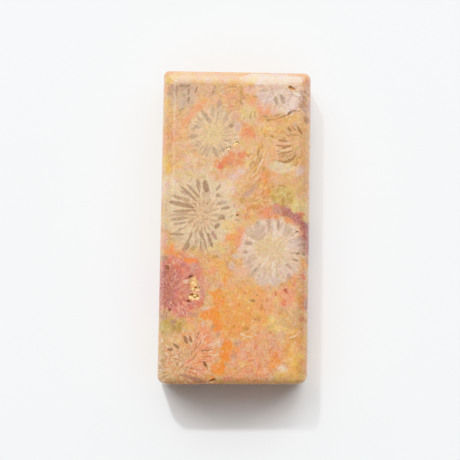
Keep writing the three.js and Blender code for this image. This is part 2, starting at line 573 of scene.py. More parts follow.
def new_group(name, **inputs):
    """An empty node group with these inputs. Returns its bench and the inputs to read."""
    tree = bpy.data.node_groups.new(name, "ShaderNodeTree")
    for key, kind in inputs.items():
        tree.interface.new_socket(key, in_out="INPUT", socket_type="NodeSocket" + kind)
    return Bench(tree), tree.nodes.new("NodeGroupInput").outputs


def finish_group(bench, **outputs):
    """Plugs the outputs of a node group and returns the group."""
    for key, value in outputs.items():
        kind = "Color" if value.type == "RGBA" else "Float"
        bench.tree.interface.new_socket(key, in_out="OUTPUT", socket_type="NodeSocket" + kind)
    made = bench.tree.nodes.new("NodeGroupOutput").inputs
    for key, value in outputs.items():
        bench.tree.links.new(value, made[key])
    return bench.tree


def take_turns(bench, given):
    """The point of a layer, tied to the colour under it with no weight at all.

    The tie changes nothing in the picture. It makes the renderer finish each layer before it starts on the
    next, so that it never holds the numbers of all layers at once.
    """
    return bench.vector("MULTIPLY_ADD", given["Under"], (0, 0, 0), given["Point"])


# %% [markdown]
# A solid pattern needs a point to read. Object coordinates give the place inside the block, in metres.
# They are brought to millimetres, and leaned a little with depth, because coral tubes seldom stand
# square to the saw. Squeezing the depth stretches the grain along the tubes.
#
# Nature has no clean outlines, so most layers read a point that has wandered: a noise pushes it a little
# to one side or another before the layer is drawn. A slow push bends a whole patch, and a quick one
# frays its edge.

# %% Where in the stone
TUBE_LEAN = (0.12, -0.08, -0.65)
# How a point wanders: how many noise grains to the millimetre, over how many millimetres, detail
DRIFT = (0.22, 1.2, 2.0)
RAGGED = (0.8, 1.7, 2.5)
FINE = (1.3, 0.42, 2.0)
ROUGH = (1.3, 1.25, 3.0)
GRAIN = (0.9, 1.2, 1.0)

place = bench.add("ShaderNodeTexCoord", {}, "Object")
place = bench.scaled(place, 1 / MM)
depth = bench.math("SUBTRACT", bench.add("ShaderNodeSeparateXYZ", {0: place}, "Z"), THICKNESS)
lean = bench.scaled(TUBE_LEAN, depth)
tube = bench.vector("ADD", place, lean)
drift = bench.wander(tube, *DRIFT)
ragged = bench.wander(drift, *RAGGED)
fine = bench.wander(tube, *FINE)
rough = bench.wander(tube, *ROUGH)
grain = bench.wander(tube, *GRAIN)
print(len(stone.node_tree.nodes), "nodes give six points to read")

# %% [markdown]
# The ground is mottled peach and ochre, from soft noise in blots of three or four millimetres. Over it go
# patches of colour, each an ellipse with an edge as soft or as crisp as the real one. Since the point has
# wandered, no ellipse looks like one. A few of them are painted light and shade: long strips down the side
# roundings, and strips along the head edge that are partly painted sheen.
#
# An ellipse could be a round gradient, stretched and turned. Here it is drawn the gardener's way, with two
# pegs and a string: the distances to the two pegs add up to the same length all round the rim.

# %% The patch group


def make_patch_group():
    """Lays one ellipse of colour over what is under it."""
    group, given = new_group(
        "patch of colour", Under="Color", Paint="Color", Point="Vector", Peg="Vector", Other="Vector",
        Outer="Float", Inner="Float", Strength="Float",
    )
    one = group.vector("DISTANCE", given["Point"], given["Peg"], output="Value")
    other = group.vector("DISTANCE", given["Point"], given["Other"], output="Value")
    string = group.math("ADD", one, other)
    share = group.ease(string, given["Outer"], given["Inner"], 0.0, given["Strength"])
    return finish_group(group, Colour=group.mix(given["Under"], given["Paint"], share))


patch_group = make_patch_group()
print("patch group:", len(patch_group.nodes), "nodes")

# %% Layers of patches


def make_layer(name, patches):
    """A group that lays patches one over the other.

    Edge is the share of the half width over which a patch fades.
    """
    layer, given = new_group(name, Under="Color", Point="Vector")
    point = layer.vector("MULTIPLY", take_turns(layer, given), (1, 1, 0))
    colour = given["Under"]
    for paint_name, x, y, half_length, half_width, turn, edge, strength in patches:
        if half_width > half_length:
            half_length, half_width, turn = half_width, half_length, turn + 90
        to_peg = math.sqrt(half_length ** 2 - half_width ** 2)
        aside = Vector((math.cos(math.radians(turn)), math.sin(math.radians(turn)), 0)) * to_peg
        outer, inner = half_width * (1 + edge / 2), half_width * (1 - edge / 2)
        colour = layer.group(patch_group, {
            "Under": colour, "Paint": PAINTS[paint_name], "Point": point,
            "Peg": Vector((x, y, 0)) + aside, "Other": Vector((x, y, 0)) - aside,
            "Outer": 2 * math.hypot(to_peg, outer), "Inner": 2 * math.hypot(to_peg, inner),
            "Strength": strength,
        })["Colour"]
    return finish_group(layer, Colour=colour)


def lay(colour, point, layer):
    """Lays a layer over the colour, in the stone's own tree."""
    return bench.group(layer, {"Under": colour, "Point": point})["Colour"]


# %% Ground
GROUND_SCALE = 0.3
GROUND_TURNS = (0.4, 0.65)

to_ochre = bench.ease(bench.noise(drift, GROUND_SCALE), *GROUND_TURNS)
ground = bench.mix(PAINTS["peach"], PAINTS["ochre"], to_ochre)
print("ground from peach to ochre, where the noise goes from", GROUND_TURNS[0], "to", GROUND_TURNS[1])

# %% Patches at the head end
# Paint, x, y, half length, half width, turn, edge, strength
HEAD_PATCHES = [
    ("peach", -9.0, 28.0, 8.0, 7.0, 0, 0.8, 0.8),
    # A strip along the head edge: the stone's cream, partly painted sheen of the polished rounding
    ("cream", -8.0, 33.9, 8.0, 1.2, 0, 0.6, 0.35),
    ("salmon", -14.0, 20.5, 3.4, 4.0, 0, 0.9, 0.25),
    ("blush", -12.0, 16.8, 3.2, 2.0, 0, 0.9, 0.6),
    ("yellow", -14.6, 14.2, 2.6, 2.2, 0, 0.8, 0.8),
    ("yellow", -15.6, 26.5, 1.6, 3.0, 0, 0.9, 0.6),
    ("cream", -8.5, 13.8, 4.5, 1.8, 0, 0.9, 0.5),
    ("grey", -12.2, 29.4, 3.3, 3.2, 0, 0.6, 0.9),
    ("sand", -6.0, 30.9, 5.0, 1.6, 0, 0.8, 0.75),
    ("ochre", -0.8, 29.5, 2.0, 2.8, 0, 0.7, 0.8),
    ("salmon", -8.8, 26.2, 3.4, 0.9, 48, 0.8, 0.45),
    ("lime", 2.6, 25.3, 2.2, 1.6, 40, 0.8, 0.7),
    ("salmon", 2.4, 20.8, 1.6, 2.2, 10, 0.8, 0.5),
    ("mauve", 0.0, 23.4, 1.1, 1.8, 0, 0.9, 0.4),
    ("red orange", -2.6, 14.4, 2.6, 1.3, 30, 0.8, 0.7),
    ("red orange", 1.2, 16.0, 1.2, 0.9, 0, 0.8, 0.4),
    ("blush", 1.3, 12.4, 1.6, 1.0, 0, 0.8, 0.6),
    ("blush", 7.0, 30.9, 5.5, 1.2, 0, 0.8, 0.8),
    ("shell", 10.5, 28.8, 4.4, 3.0, 0, 0.6, 0.95),
    # A strip along the head edge: the stone's white, partly painted sheen of the polished rounding
    ("white", 7.5, 33.6, 7.0, 1.3, 0, 0.5, 0.8),
    ("lavender", 6.3, 29.5, 1.8, 1.3, 0, 0.8, 0.9),
    ("mauve", 15.3, 28.5, 1.3, 2.6, 0, 0.8, 0.7),
    ("salmon", 6.5, 26.9, 2.2, 1.2, 0, 0.8, 0.6),
    ("ochre", 11.4, 23.2, 4.2, 2.2, 0, 0.7, 0.6),
    ("yellow", 6.6, 22.0, 1.8, 1.4, 0, 0.9, 0.4),
    ("sand", 13.6, 20.4, 2.6, 3.0, 0, 0.9, 0.6),
    ("peach", 7.6, 18.0, 2.2, 2.6, 0, 0.9, 0.5),
    ("sand", -14.6, 25.4, 1.8, 3.0, 0, 0.9, 0.5),
    ("tan", -12.6, 17.0, 2.6, 2.6, 0, 1.0, 0.5),
    ("tan", 0.4, 28.8, 1.6, 2.6, 0, 0.9, 0.5),
    ("mauve", 16.2, 33.0, 0.9, 2.4, 0, 0.8, 0.6),
    ("ochre", 5.0, 15.0, 1.4, 4.0, -8, 0.8, 0.6),
    ("sand", 12.0, 16.4, 2.2, 1.5, 0, 0.9, 0.6),
    ("cream", 10.2, 13.4, 2.8, 1.5, 0, 0.8, 0.9),
    ("lavender", 14.5, 12.9, 1.4, 1.3, 0, 0.8, 0.6),
]
print(len(HEAD_PATCHES), "patches at the head end")

# %% Patches in the middle
MIDDLE_PATCHES = [
    # Painted light: a long light strip down the right rounding, lifting its shade
    ("blush", 15.5, 8.0, 1.0, 26.0, 0, 0.9, 0.35),
    # Painted shade: a long tan strip along the crease of the left rounding
    ("tan", -13.5, 4.0, 0.9, 26.0, 0, 0.9, 0.3),
    ("pale cream", -15.4, 8.4, 2.4, 3.0, 0, 0.8, 0.7),
    ("cream", -10.0, 11.4, 4.0, 1.2, 0, 0.9, 0.6),
    ("cream", -8.0, 2.8, 8.4, 8.0, 0, 0.5, 0.8),
    ("lime", -2.0, 2.2, 1.8, 2.2, 0, 0.8, 0.7),
    ("pale cream", -2.4, 8.6, 2.4, 1.7, 0, 0.8, 0.6),
    ("blush", 0.8, 10.8, 2.2, 1.6, 0, 0.8, 0.7),
    ("tan", 2.8, 7.2, 2.2, 1.6, 0, 0.8, 0.6),
    ("mauve", 3.8, 8.4, 2.4, 0.7, 48, 0.8, 0.5),
    ("ochre", 6.6, 9.2, 1.9, 3.2, 0, 0.8, 0.8),
    ("ochre", 5.0, 6.0, 2.0, 1.6, 0, 0.8, 0.6),
    ("olive", 10.8, 6.7, 3.0, 2.8, 0, 1.0, 0.95),
    ("tan", 14.8, 9.8, 2.0, 2.6, 0, 0.9, 0.5),
    ("lime", 14.4, 5.0, 1.9, 1.5, 0, 0.8, 0.9),
    ("ochre", 3.8, 3.2, 2.2, 1.7, 0, 0.8, 0.7),
    ("red orange", 7.4, 2.9, 2.6, 1.3, 0, 0.8, 0.6),
    ("maroon", 12.2, 2.9, 4.0, 1.1, -28, 0.6, 0.7),
    ("maroon", 15.9, -2.2, 1.6, 4.2, 0, 0.6, 1.0),
    ("yellow", -1.4, 0.2, 1.7, 1.2, 0, 0.8, 0.7),
    ("gold", -0.6, -2.7, 1.6, 2.0, 0, 0.9, 0.7),
    ("salmon", 1.3, -3.4, 1.0, 3.0, 8, 0.8, 0.6),
    ("lime", -4.0, -5.0, 2.2, 1.7, 0, 0.8, 0.6),
    ("ochre", -6.2, -8.3, 2.2, 1.7, 0, 0.8, 0.7),
    ("gold", -3.0, -10.0, 2.8, 2.4, 0, 0.8, 0.8),
    ("gold", 15.0, -7.4, 1.7, 1.5, 0, 0.8, 0.7),
    ("blush", -16.0, -4.0, 1.2, 2.6, 0, 0.8, 0.7),
    ("salmon", -13.4, -6.2, 3.2, 1.1, -30, 0.7, 0.5),
    ("bright orange", -9.6, -8.0, 1.5, 0.8, -10, 0.6, 1.0),
]
print(len(MIDDLE_PATCHES), "patches in the middle")

# %% Patches at the foot end
FOOT_PATCHES = [
    ("gold", 1.5, -19.0, 6.8, 6.4, 0, 0.6, 1.0),
    ("orange", 0.5, -20.5, 3.4, 4.0, 0, 0.9, 0.5),
    ("rose", -12.8, -13.4, 6.9, 6.9, 0, 0.3, 1.0),
    ("deep rose", -15.0, -12.4, 2.8, 3.4, 0, 0.8, 0.9),
    ("deep rose", -14.0, -16.4, 2.4, 2.4, 0, 0.8, 0.9),
    ("blush", -7.0, -14.5, 1.0, 3.6, 0, 0.8, 0.7),
    ("sand", -9.0, -13.6, 1.1, 2.0, 10, 0.8, 0.7),
    ("sand", -15.3, -19.8, 1.8, 1.1, 0, 0.8, 0.9),
    ("tan", -12.4, -20.8, 2.6, 0.9, 0, 0.8, 0.9),
    ("olive", -13.6, -22.8, 3.4, 1.7, 0, 0.7, 0.95),
    ("salmon", -9.0, -20.3, 1.7, 1.0, 0, 0.8, 0.8),
    ("tan", -4.6, -12.0, 1.7, 1.8, 0, 0.8, 0.6),
    ("orange", -3.4, -16.4, 1.1, 2.4, 0, 0.6, 0.9),
    ("bright orange", -5.0, -20.0, 2.1, 1.2, 0, 0.6, 0.85),
    ("bright orange", -3.6, -22.4, 1.0, 1.4, 0, 0.6, 0.8),
    ("salmon", -6.4, -23.4, 1.4, 2.0, 0, 0.8, 0.8),
    ("salmon", -6.2, -27.6, 2.6, 3.2, 0, 0.8, 0.9),
    ("lime", -13.2, -27.6, 3.2, 3.0, 0, 0.8, 0.8),
    ("salmon", 5.4, -28.5, 5.6, 4.8, 0, 0.7, 0.6),
    ("blush", -3.2, -25.6, 1.1, 1.2, 0, 0.8, 0.6),
    ("bright orange", -1.4, -27.8, 1.4, 2.6, 0, 0.6, 0.9),
    ("salmon", 0.6, -29.4, 1.6, 2.2, 0, 0.8, 0.8),
    ("bright orange", -3.2, -32.0, 1.7, 1.5, 0, 0.6, 0.85),
    ("bright orange", 9.3, -29.9, 0.9, 1.7, 0, 0.7, 0.8),
    ("gold", 14.2, -28.0, 2.6, 5.0, 0, 0.8, 0.7),
    ("blush", 10.9, -31.6, 1.3, 1.0, 0, 0.8, 0.7),
    ("salmon", 6.6, -16.8, 2.4, 2.4, 0, 0.8, 0.5),
    ("salmon", 11.6, -15.6, 2.4, 2.2, 0, 0.8, 0.8),
    ("yellow", 10.0, -21.4, 3.2, 2.0, 0, 0.8, 0.4),
    ("tan", 13.4, -21.0, 2.4, 1.7, 0, 0.8, 0.7),
    ("red orange", 15.6, -16.8, 1.4, 1.7, 0, 0.8, 0.7),
    ("salmon", -8.2, -31.8, 2.2, 1.7, 0, 0.8, 0.8),
    ("cream", -13.6, -31.4, 3.6, 3.6, 0, 0.7, 0.6),
    ("yellow", 12.5, -33.2, 3.6, 1.3, 0, 0.8, 0.6),
    ("salmon", 3.0, -33.6, 5.0, 1.2, 0, 0.8, 0.6),
]
print(len(FOOT_PATCHES), "patches at the foot end")

# %% Lay the patches
colour = lay(ground, ragged, make_layer("patches", HEAD_PATCHES + MIDDLE_PATCHES + FOOT_PATCHES))
print(len(stone.node_tree.nodes), "nodes in the stone")

# %% [markdown]
# The patches give the broad colours, and the eye now wants something to rest on: the stains, stringy
# flakes and specks of mud that fill the stone between the cups. A noise alone looks the same everywhere,
# so these marks are set one by one where the real stone has one. All marks of one paint go in one layer,
# and their point wanders far, which tears each mark into a different shape.

# %% A helper that lays marks


def lay_marks(colour, point, paint_name, softness, places):
    """Lays marks of one paint: x, y, half length, half width, turn in degrees, strength.

    Softness is the share of the half width over which a mark fades.
    """
    rows = [(paint_name, *place[:5], softness, place[5]) for place in places]
    print(len(places), "marks in", paint_name)
    return lay(colour, point, make_layer(paint_name + " marks", rows))


# %% Mud stains between the cups
colour = lay_marks(colour, rough, "dusk", 0.9, [
    (-12.6, 31.2, 2.6, 0.9, 0, 0.7), (-15.0, 31.1, 0.9, 0.5, 0, 0.7), (-15.0, 29.8, 0.9, 0.3, 0, 0.7),
    (-5.0, 30.8, 0.9, 0.35, 85, 0.7), (-3.9, 27.8, 1.8, 0.5, 85, 0.5), (3.2, 31.5, 0.9, 0.4, 0, 0.5),
    (8.0, 31.4, 3.4, 0.5, 0, 0.35), (14.5, 28.4, 1.5, 0.7, 80, 0.7), (15.4, 30.6, 1.0, 0.25, -10, 0.7),
    (13.9, 30.6, 0.9, 0.2, -20, 0.5), (15.6, 27.6, 0.8, 0.3, -40, 0.5), (15.6, 24.6, 0.8, 0.7, 0, 0.6),
    (3.4, 8.2, 2.4, 0.5, 45, 0.4), (-1.6, -8.6, 0.7, 0.35, 80, 0.6), (-0.9, -9.9, 0.5, 0.25, 0, 0.6),
    (-15.8, -7.4, 1.0, 0.7, 0, 0.8), (-13.4, -21.6, 0.8, 0.5, 0, 0.8), (-15.4, -20.0, 0.9, 0.8, 0, 0.6),
    (-9.0, -20.0, 1.2, 0.5, 0, 0.7), (16.0, -17.0, 1.6, 0.5, 90, 0.8), (0.2, -29.2, 0.9, 0.6, 90, 0.6),
    (1.0, -26.0, 1.0, 0.5, 0, 0.5), (-8.7, -34.2, 2.1, 0.4, -28, 0.9), (16.2, -7.2, 0.9, 0.4, 90, 0.7),
    (-4.7, -22.6, 0.6, 0.35, 60, 0.6), (-3.3, -24.2, 0.6, 0.4, 45, 0.6), (-15.4, -34.2, 0.9, 0.4, 0, 0.5),
])

# %% Greenish clouds
colour = lay_marks(colour, rough, "lime", 0.9, [
    (3.7, 23.6, 1.0, 0.8, 0, 0.55), (1.5, 27.0, 1.2, 0.6, 80, 0.4), (11.1, 7.2, 0.6, 0.3, 20, 0.7),
    (-14.8, -24.2, 1.3, 0.8, 80, 0.55), (9.5, -17.0, 1.0, 0.5, 70, 0.5),
    (-15.6, -22.6, 0.8, 0.5, 90, 0.5), (15.7, 2.8, 1.9, 0.7, 90, 0.7), (-1.7, 2.6, 0.9, 0.7, 90, 0.5),
    (13.4, 4.3, 1.3, 1.0, 60, 0.55), (9.6, 27.0, 1.4, 1.1, 90, 0.4), (9.3, -2.3, 1.8, 0.6, 90, 0.3),
    (-15.4, 28.6, 0.9, 0.8, 0, 0.4), (-4.8, -4.6, 1.1, 0.8, 0, 0.5), (3.0, 16.8, 0.9, 0.6, 0, 0.4),
])

# %% Pale yellow clouds, and painted highlight on the head edge
colour = lay_marks(colour, rough, "butter", 0.8, [
    (7.0, 22.1, 1.3, 0.3, 12, 0.6), (8.4, 21.5, 0.6, 0.2, -30, 0.6), (8.8, 20.9, 0.5, 0.2, -20, 0.6),
    (2.8, 14.0, 1.0, 0.5, 60, 0.45), (9.3, 7.3, 0.9, 0.18, 55, 0.45), (-1.2, 0.9, 1.0, 0.5, 0, 0.45),
    (8.5, -20.8, 0.7, 0.5, 90, 0.6), (13.5, -27.0, 1.1, 0.9, 80, 0.5), (15.0, -28.6, 1.1, 0.6, 90, 0.5),
    (13.5, -29.6, 1.1, 0.9, 90, 0.45), (2.0, -30.7, 0.6, 0.5, 0, 0.45), (-9.0, -12.8, 1.3, 0.6, 80, 0.6),
    (-2.0, -24.0, 0.9, 0.6, 60, 0.35), (10.4, -22.7, 1.4, 0.5, 0, 0.4), (-9.6, -22.8, 1.2, 0.7, 0, 0.4),
    # The marks at x -15.0 and 2.4, y 33.2, lie on the head edge: a painted highlight at the corner and
    # painted sheen, over the stone's pale yellow
    (-15.0, 33.2, 1.4, 0.9, 0, 0.6), (-5.0, -8.6, 0.9, 0.5, 0, 0.35), (2.4, 33.2, 2.8, 0.9, 0, 0.45),
    (-15.6, 25.8, 1.2, 0.7, 90, 0.35), (12.8, -23.4, 1.2, 0.4, 10, 0.35),
])

# %% Rose clouds
colour = lay_marks(colour, rough, "rose", 0.8, [
    (-14.2, 20.4, 1.5, 0.6, 88, 0.4), (-1.4, 27.0, 0.8, 0.6, 60, 0.4), (1.5, 23.0, 0.9, 0.6, 0, 0.4),
    (8.3, 25.3, 0.9, 0.8, 90, 0.5), (15.2, 33.5, 0.7, 0.4, 30, 0.4), (9.1, 4.6, 0.8, 0.6, 0, 0.75),
    (10.5, 2.7, 0.8, 0.5, 0, 0.7), (13.4, 0.9, 0.9, 0.6, -40, 0.7), (14.8, -0.9, 1.0, 0.7, 80, 0.7),
    (14.8, 3.0, 0.7, 0.5, 0, 0.7), (-7.1, -12.8, 2.2, 0.5, 88, 0.7), (-6.9, -16.0, 2.0, 0.45, 82, 0.7),
    (-8.4, -10.2, 0.9, 0.5, -50, 0.6), (-11.3, -20.1, 1.0, 0.7, 0, 0.7), (9.0, -26.4, 0.8, 0.5, 80, 0.4),
    (15.3, -20.5, 0.9, 0.4, 0, 0.6), (6.4, -9.6, 0.6, 0.5, 0, 0.4), (-1.2, -34.3, 0.8, 0.5, 0, 0.5),
])

# %% Wine red beside the pale cup and in the rose cup
colour = lay_marks(colour, rough, "wine", 0.7, [
    (9.2, 3.5, 0.9, 0.7, 0, 0.65), (11.5, 3.3, 1.4, 0.85, -10, 0.75), (14.0, 2.0, 1.3, 0.95, -40, 0.75),
    (15.5, 0.2, 1.3, 0.9, -60, 0.75), (16.1, -1.9, 2.4, 0.75, 90, 0.75), (15.7, -4.2, 1.5, 0.9, 80, 0.7),
    (15.1, -5.0, 1.0, 0.4, 8, 0.7), (-14.2, -14.8, 2.6, 0.9, 85, 0.5), (-15.6, -11.8, 2.0, 0.7, 80, 0.4),
    (-13.0, -17.6, 0.8, 0.5, -40, 0.4), (-15.8, -17.4, 0.8, 0.5, 0, 0.4),
])

# %% Red specks
colour = lay_marks(colour, rough, "red", 0.8, [
    (-3.3, 13.5, 0.8, 0.6, 50, 0.55), (1.4, 15.5, 1.0, 0.4, -35, 0.4), (1.9, 16.4, 0.5, 0.3, 0, 0.3),
    (2.8, 15.8, 0.4, 0.3, 0, 0.4), (-12.6, -9.5, 0.9, 0.7, 60, 0.55), (-11.5, -10.3, 0.8, 0.5, 70, 0.5),
    (-10.2, -13.5, 0.7, 0.4, 70, 0.5), (-11.0, -17.1, 1.0, 0.7, 0, 0.5), (-7.6, -17.6, 0.9, 0.8, 0, 0.65),
    (-8.9, -18.4, 0.8, 0.5, 0, 0.5), (9.3, -14.9, 0.6, 0.3, 80, 0.55),
    (11.6, -14.4, 0.8, 0.35, -60, 0.65), (11.2, -16.8, 0.9, 0.6, 80, 0.5),
    (13.4, -12.9, 0.7, 0.45, 75, 0.5), (15.2, -11.0, 0.8, 0.45, -30, 0.65),
    (-9.3, -30.1, 0.9, 0.45, 30, 0.35), (-8.3, -33.0, 1.0, 0.5, -20, 0.3), (0.6, 2.9, 0.5, 0.4, 0, 0.3),
    (-0.9, -6.1, 0.4, 0.3, 0, 0.35), (-4.3, -11.9, 0.9, 0.25, 85, 0.35), (4.0, -32.7, 0.8, 0.5, 0, 0.3),
    (5.8, -31.0, 1.1, 0.3, 88, 0.3), (-6.7, -24.4, 0.5, 0.2, 80, 0.4), (-1.1, -33.9, 0.5, 0.4, 0, 0.2),
])

# %% Red orange flakes
colour = lay_marks(colour, rough, "red orange", 0.8, [
    (-1.4, 15.8, 1.1, 0.9, 60, 0.7), (-2.6, 14.5, 1.0, 0.6, 40, 0.7), (0.4, 14.4, 1.6, 0.8, 0, 0.5),
    (2.7, 21.1, 1.6, 0.8, -25, 0.7), (1.2, 20.4, 0.9, 0.5, 0, 0.45), (-11.4, 23.1, 1.3, 0.8, 70, 0.45),
    (6.2, 4.2, 1.5, 0.7, 0, 0.35), (7.6, 3.5, 1.2, 0.8, 0, 0.4), (9.0, 1.8, 1.0, 0.6, 0, 0.7),
    (12.0, 1.5, 1.1, 0.6, -15, 0.7), (0.9, -2.4, 0.8, 0.6, 0, 0.5), (9.2, -28.9, 0.8, 0.6, 0, 0.6),
    (-12.0, -15.8, 1.5, 0.8, 80, 0.4),
])

# %% Salmon clouds
colour = lay_marks(colour, rough, "salmon", 0.9, [
    (1.7, -1.2, 1.3, 0.8, 80, 0.7), (0.6, -4.0, 1.3, 0.8, 90, 0.45), (-2.3, -4.1, 0.7, 0.5, 0, 0.6),
    (-5.0, -10.3, 0.9, 0.8, 0, 0.7), (3.9, 28.0, 1.1, 0.8, 0, 0.6), (6.8, 26.3, 2.3, 1.1, 0, 0.8),
    (-9.0, 26.4, 2.6, 0.7, 45, 0.5), (13.7, -11.2, 0.8, 0.6, 0, 0.6), (-0.3, -32.7, 0.9, 0.6, 90, 0.6),
    (-5.4, -24.8, 1.2, 1.0, 0, 0.6), (7.2, -8.6, 1.3, 0.6, 0, 0.4), (8.0, -16.0, 1.5, 0.7, 70, 0.5),
])

# %% Bright orange veins
colour = lay_marks(colour, rough, "flame", 1.1, [
    (-9.6, -8.15, 1.0, 0.65, 0, 0.85), (-10.8, -7.8, 0.7, 0.4, -10, 0.7), (-8.4, -8.0, 0.4, 0.4, 0, 0.4),
    (-14.0, -5.1, 1.1, 0.4, 88, 0.7), (-13.0, -6.7, 1.3, 0.4, -22, 0.7), (-15.2, -6.1, 1.0, 0.5, 0, 0.5),
    (-2.0, -12.3, 1.5, 0.3, 88, 0.7), (-5.0, -15.0, 0.7, 0.4, -10, 0.75),
    (-4.1, -15.8, 0.8, 0.4, -35, 0.75), (-3.2, -16.5, 0.7, 0.4, -30, 0.75),
    (-2.5, -17.5, 0.6, 0.4, 80, 0.7), (-3.8, -18.5, 0.7, 0.5, 30, 0.85), (-6.3, -19.7, 0.8, 0.5, 0, 0.85),
    (-5.1, -20.1, 0.9, 0.6, -20, 0.85), (-4.0, -20.8, 0.9, 0.5, 85, 0.85),
    (-3.3, -22.1, 1.0, 0.7, 80, 0.85), (-3.8, -23.4, 0.6, 0.5, 0, 0.7), (-7.4, -21.6, 0.5, 0.5, 0, 0.5),
    (-5.8, -26.0, 0.8, 0.6, 60, 0.5), (-2.3, -24.6, 0.8, 0.4, 80, 0.6),
    (-1.1, -26.6, 0.8, 0.55, 70, 0.85), (0.8, -27.5, 0.7, 0.5, -20, 0.85),
    (-1.2, -28.3, 0.9, 0.5, 85, 0.85), (-1.8, -29.6, 0.9, 0.6, 60, 0.75),
    (-2.5, -30.7, 0.6, 0.4, 50, 0.6), (-4.3, -31.5, 0.6, 0.5, 0, 0.75), (-3.2, -31.8, 1.0, 0.7, 0, 0.85),
    (-3.0, -32.9, 0.5, 0.4, 0, 0.7), (-4.3, -33.7, 0.8, 0.4, 0, 0.5), (8.7, -31.0, 0.6, 0.5, 0, 0.85),
    (9.8, -30.6, 0.7, 0.45, 0, 0.75), (14.0, -1.2, 0.8, 0.7, 0, 0.75), (-0.9, -2.6, 1.2, 0.8, 0, 0.5),
    (6.6, 10.9, 1.6, 0.8, 80, 0.4), (7.0, 7.9, 0.9, 0.6, 0, 0.4),
])

# %% [markdown]
# Up close the stone between the cups is never one colour. One way to break it up is a speckled paint over
# all of it, but that would dull the patches. Here red, green and blue each swing a little to either side
# of what they were, every one by its own noise, so that a patch stays what it is and still comes alive.
#
# Where a noise crosses its middle value it makes a line as thin as one likes. One such line is painted
# pale and another brown, like the broken walls of the old coral.

# %% Grain between the cups
GRAIN_SCALE = 0.5
# How far red, green and blue swing to either side
COARSE_SWING = (0.03, 0.05, 0.11)
SWING_BAND = (0.42, 0.58)


def tinted(colour, point, scale, swing):
    """Swings the colour warmer, cooler, lighter and darker from place to place, around what it was."""
    noises = bench.three_noises(point, scale, detail=1.0)
    steps = [bench.ease(one, *SWING_BAND, 1 - far, 1 + far) for one, far in zip(noises, swing)]
    tint = bench.add("ShaderNodeCombineXYZ", dict(enumerate(steps)))
    return bench.vector("MULTIPLY", colour, tint)


colour = tinted(colour, grain, GRAIN_SCALE, COARSE_SWING)
print("swing of red, green and blue:", COARSE_SWING)

# %% Threads of cream and brown
THREAD_SCALE = 0.8
PALE_THREAD_WIDTH = 0.035
DARK_THREAD_WIDTH = 0.03
PALE_THREAD_STRENGTH = (0.1, 0.5)
DARK_THREAD_STRENGTH = (0.05, 0.35)
# Pale threads are strongest where the third noise is above these values, dark ones where it is below
THREAD_SIDES = (0.4, 0.6)

pale_thread, dark_thread, patchy = bench.three_noises(grain, THREAD_SCALE)[:3]


def line_at_middle(value, width):
    """One where the noise crosses its middle value, falling to nothing at this distance from it."""
    return bench.ease(bench.math("ABSOLUTE", bench.math("SUBTRACT", value, 0.5)), width, 0.0)


pale_there = bench.ease(patchy, *THREAD_SIDES, *PALE_THREAD_STRENGTH)
dark_there = bench.ease(patchy, *reversed(THREAD_SIDES), *DARK_THREAD_STRENGTH)
pale_threads = bench.math("MULTIPLY", line_at_middle(pale_thread, PALE_THREAD_WIDTH), pale_there)
dark_threads = bench.math("MULTIPLY", line_at_middle(dark_thread, DARK_THREAD_WIDTH), dark_there)
colour = bench.mix(colour, PAINTS["pale cream"], pale_threads)
colour = bench.mix(colour, PAINTS["brown petal"], dark_threads)
print(len(stone.node_tree.nodes), "nodes in the stone")

# %% [markdown]
# Each cup is a flower seen from above: a pale or coloured disc with a ragged rim, and fine rays that run
# out from its centre. The rays are a noise read on a ring: the direction from the centre picks the place
# on the ring, so that the pattern runs outwards. The petals come after, one by one.

# %% Rays round a cup
# Radius of the ring on which the rays are read, and how fast they change on their way out
RAYS_AROUND = 4.6
RAY_CHANGE = 0.35
RAY_SCALE = 1.0
FINE_RAY_SCALE = 2.3


def make_cup_group():
    """Distance from the centre of one cup, and broad and fine rays round it."""
    group, given = new_group("round a cup", Point="Vector", Centre="Vector")
    way = group.vector("MULTIPLY", group.vector("SUBTRACT", given["Point"], given["Centre"]), (1, 1, 0))
    radius = group.vector("LENGTH", way, output="Value")
    spoke = group.scaled(group.vector("NORMALIZE", way), RAYS_AROUND)
    outwards = group.scaled((0, 0, RAY_CHANGE), radius)
    ray_point = group.vector("ADD", group.vector("ADD", spoke, outwards), given["Centre"])
    rays = group.noise(ray_point, RAY_SCALE, detail=1.0)
    fine_rays = group.noise(ray_point, FINE_RAY_SCALE, detail=1.0)
    return finish_group(group, Radius=radius, Rays=rays, Fine=fine_rays)


cup_group = make_cup_group()
print("cup group:", len(cup_group.nodes), "nodes")

# %% One cup
# How far apart the broad rays can push the rim, and how far it fades to either side, mm
RIM_WAVES = 3.2
RIM_SOFTNESS = 0.8
PALE_RAY_BAND = (0.52, 0.68)
DARK_RAY_BAND = (0.47, 0.32)
DARK_RAY_SHARE = 0.8
# Shares of the reach at which the middle starts and is full
MIDDLE_BAND = (0.65, 0.3)


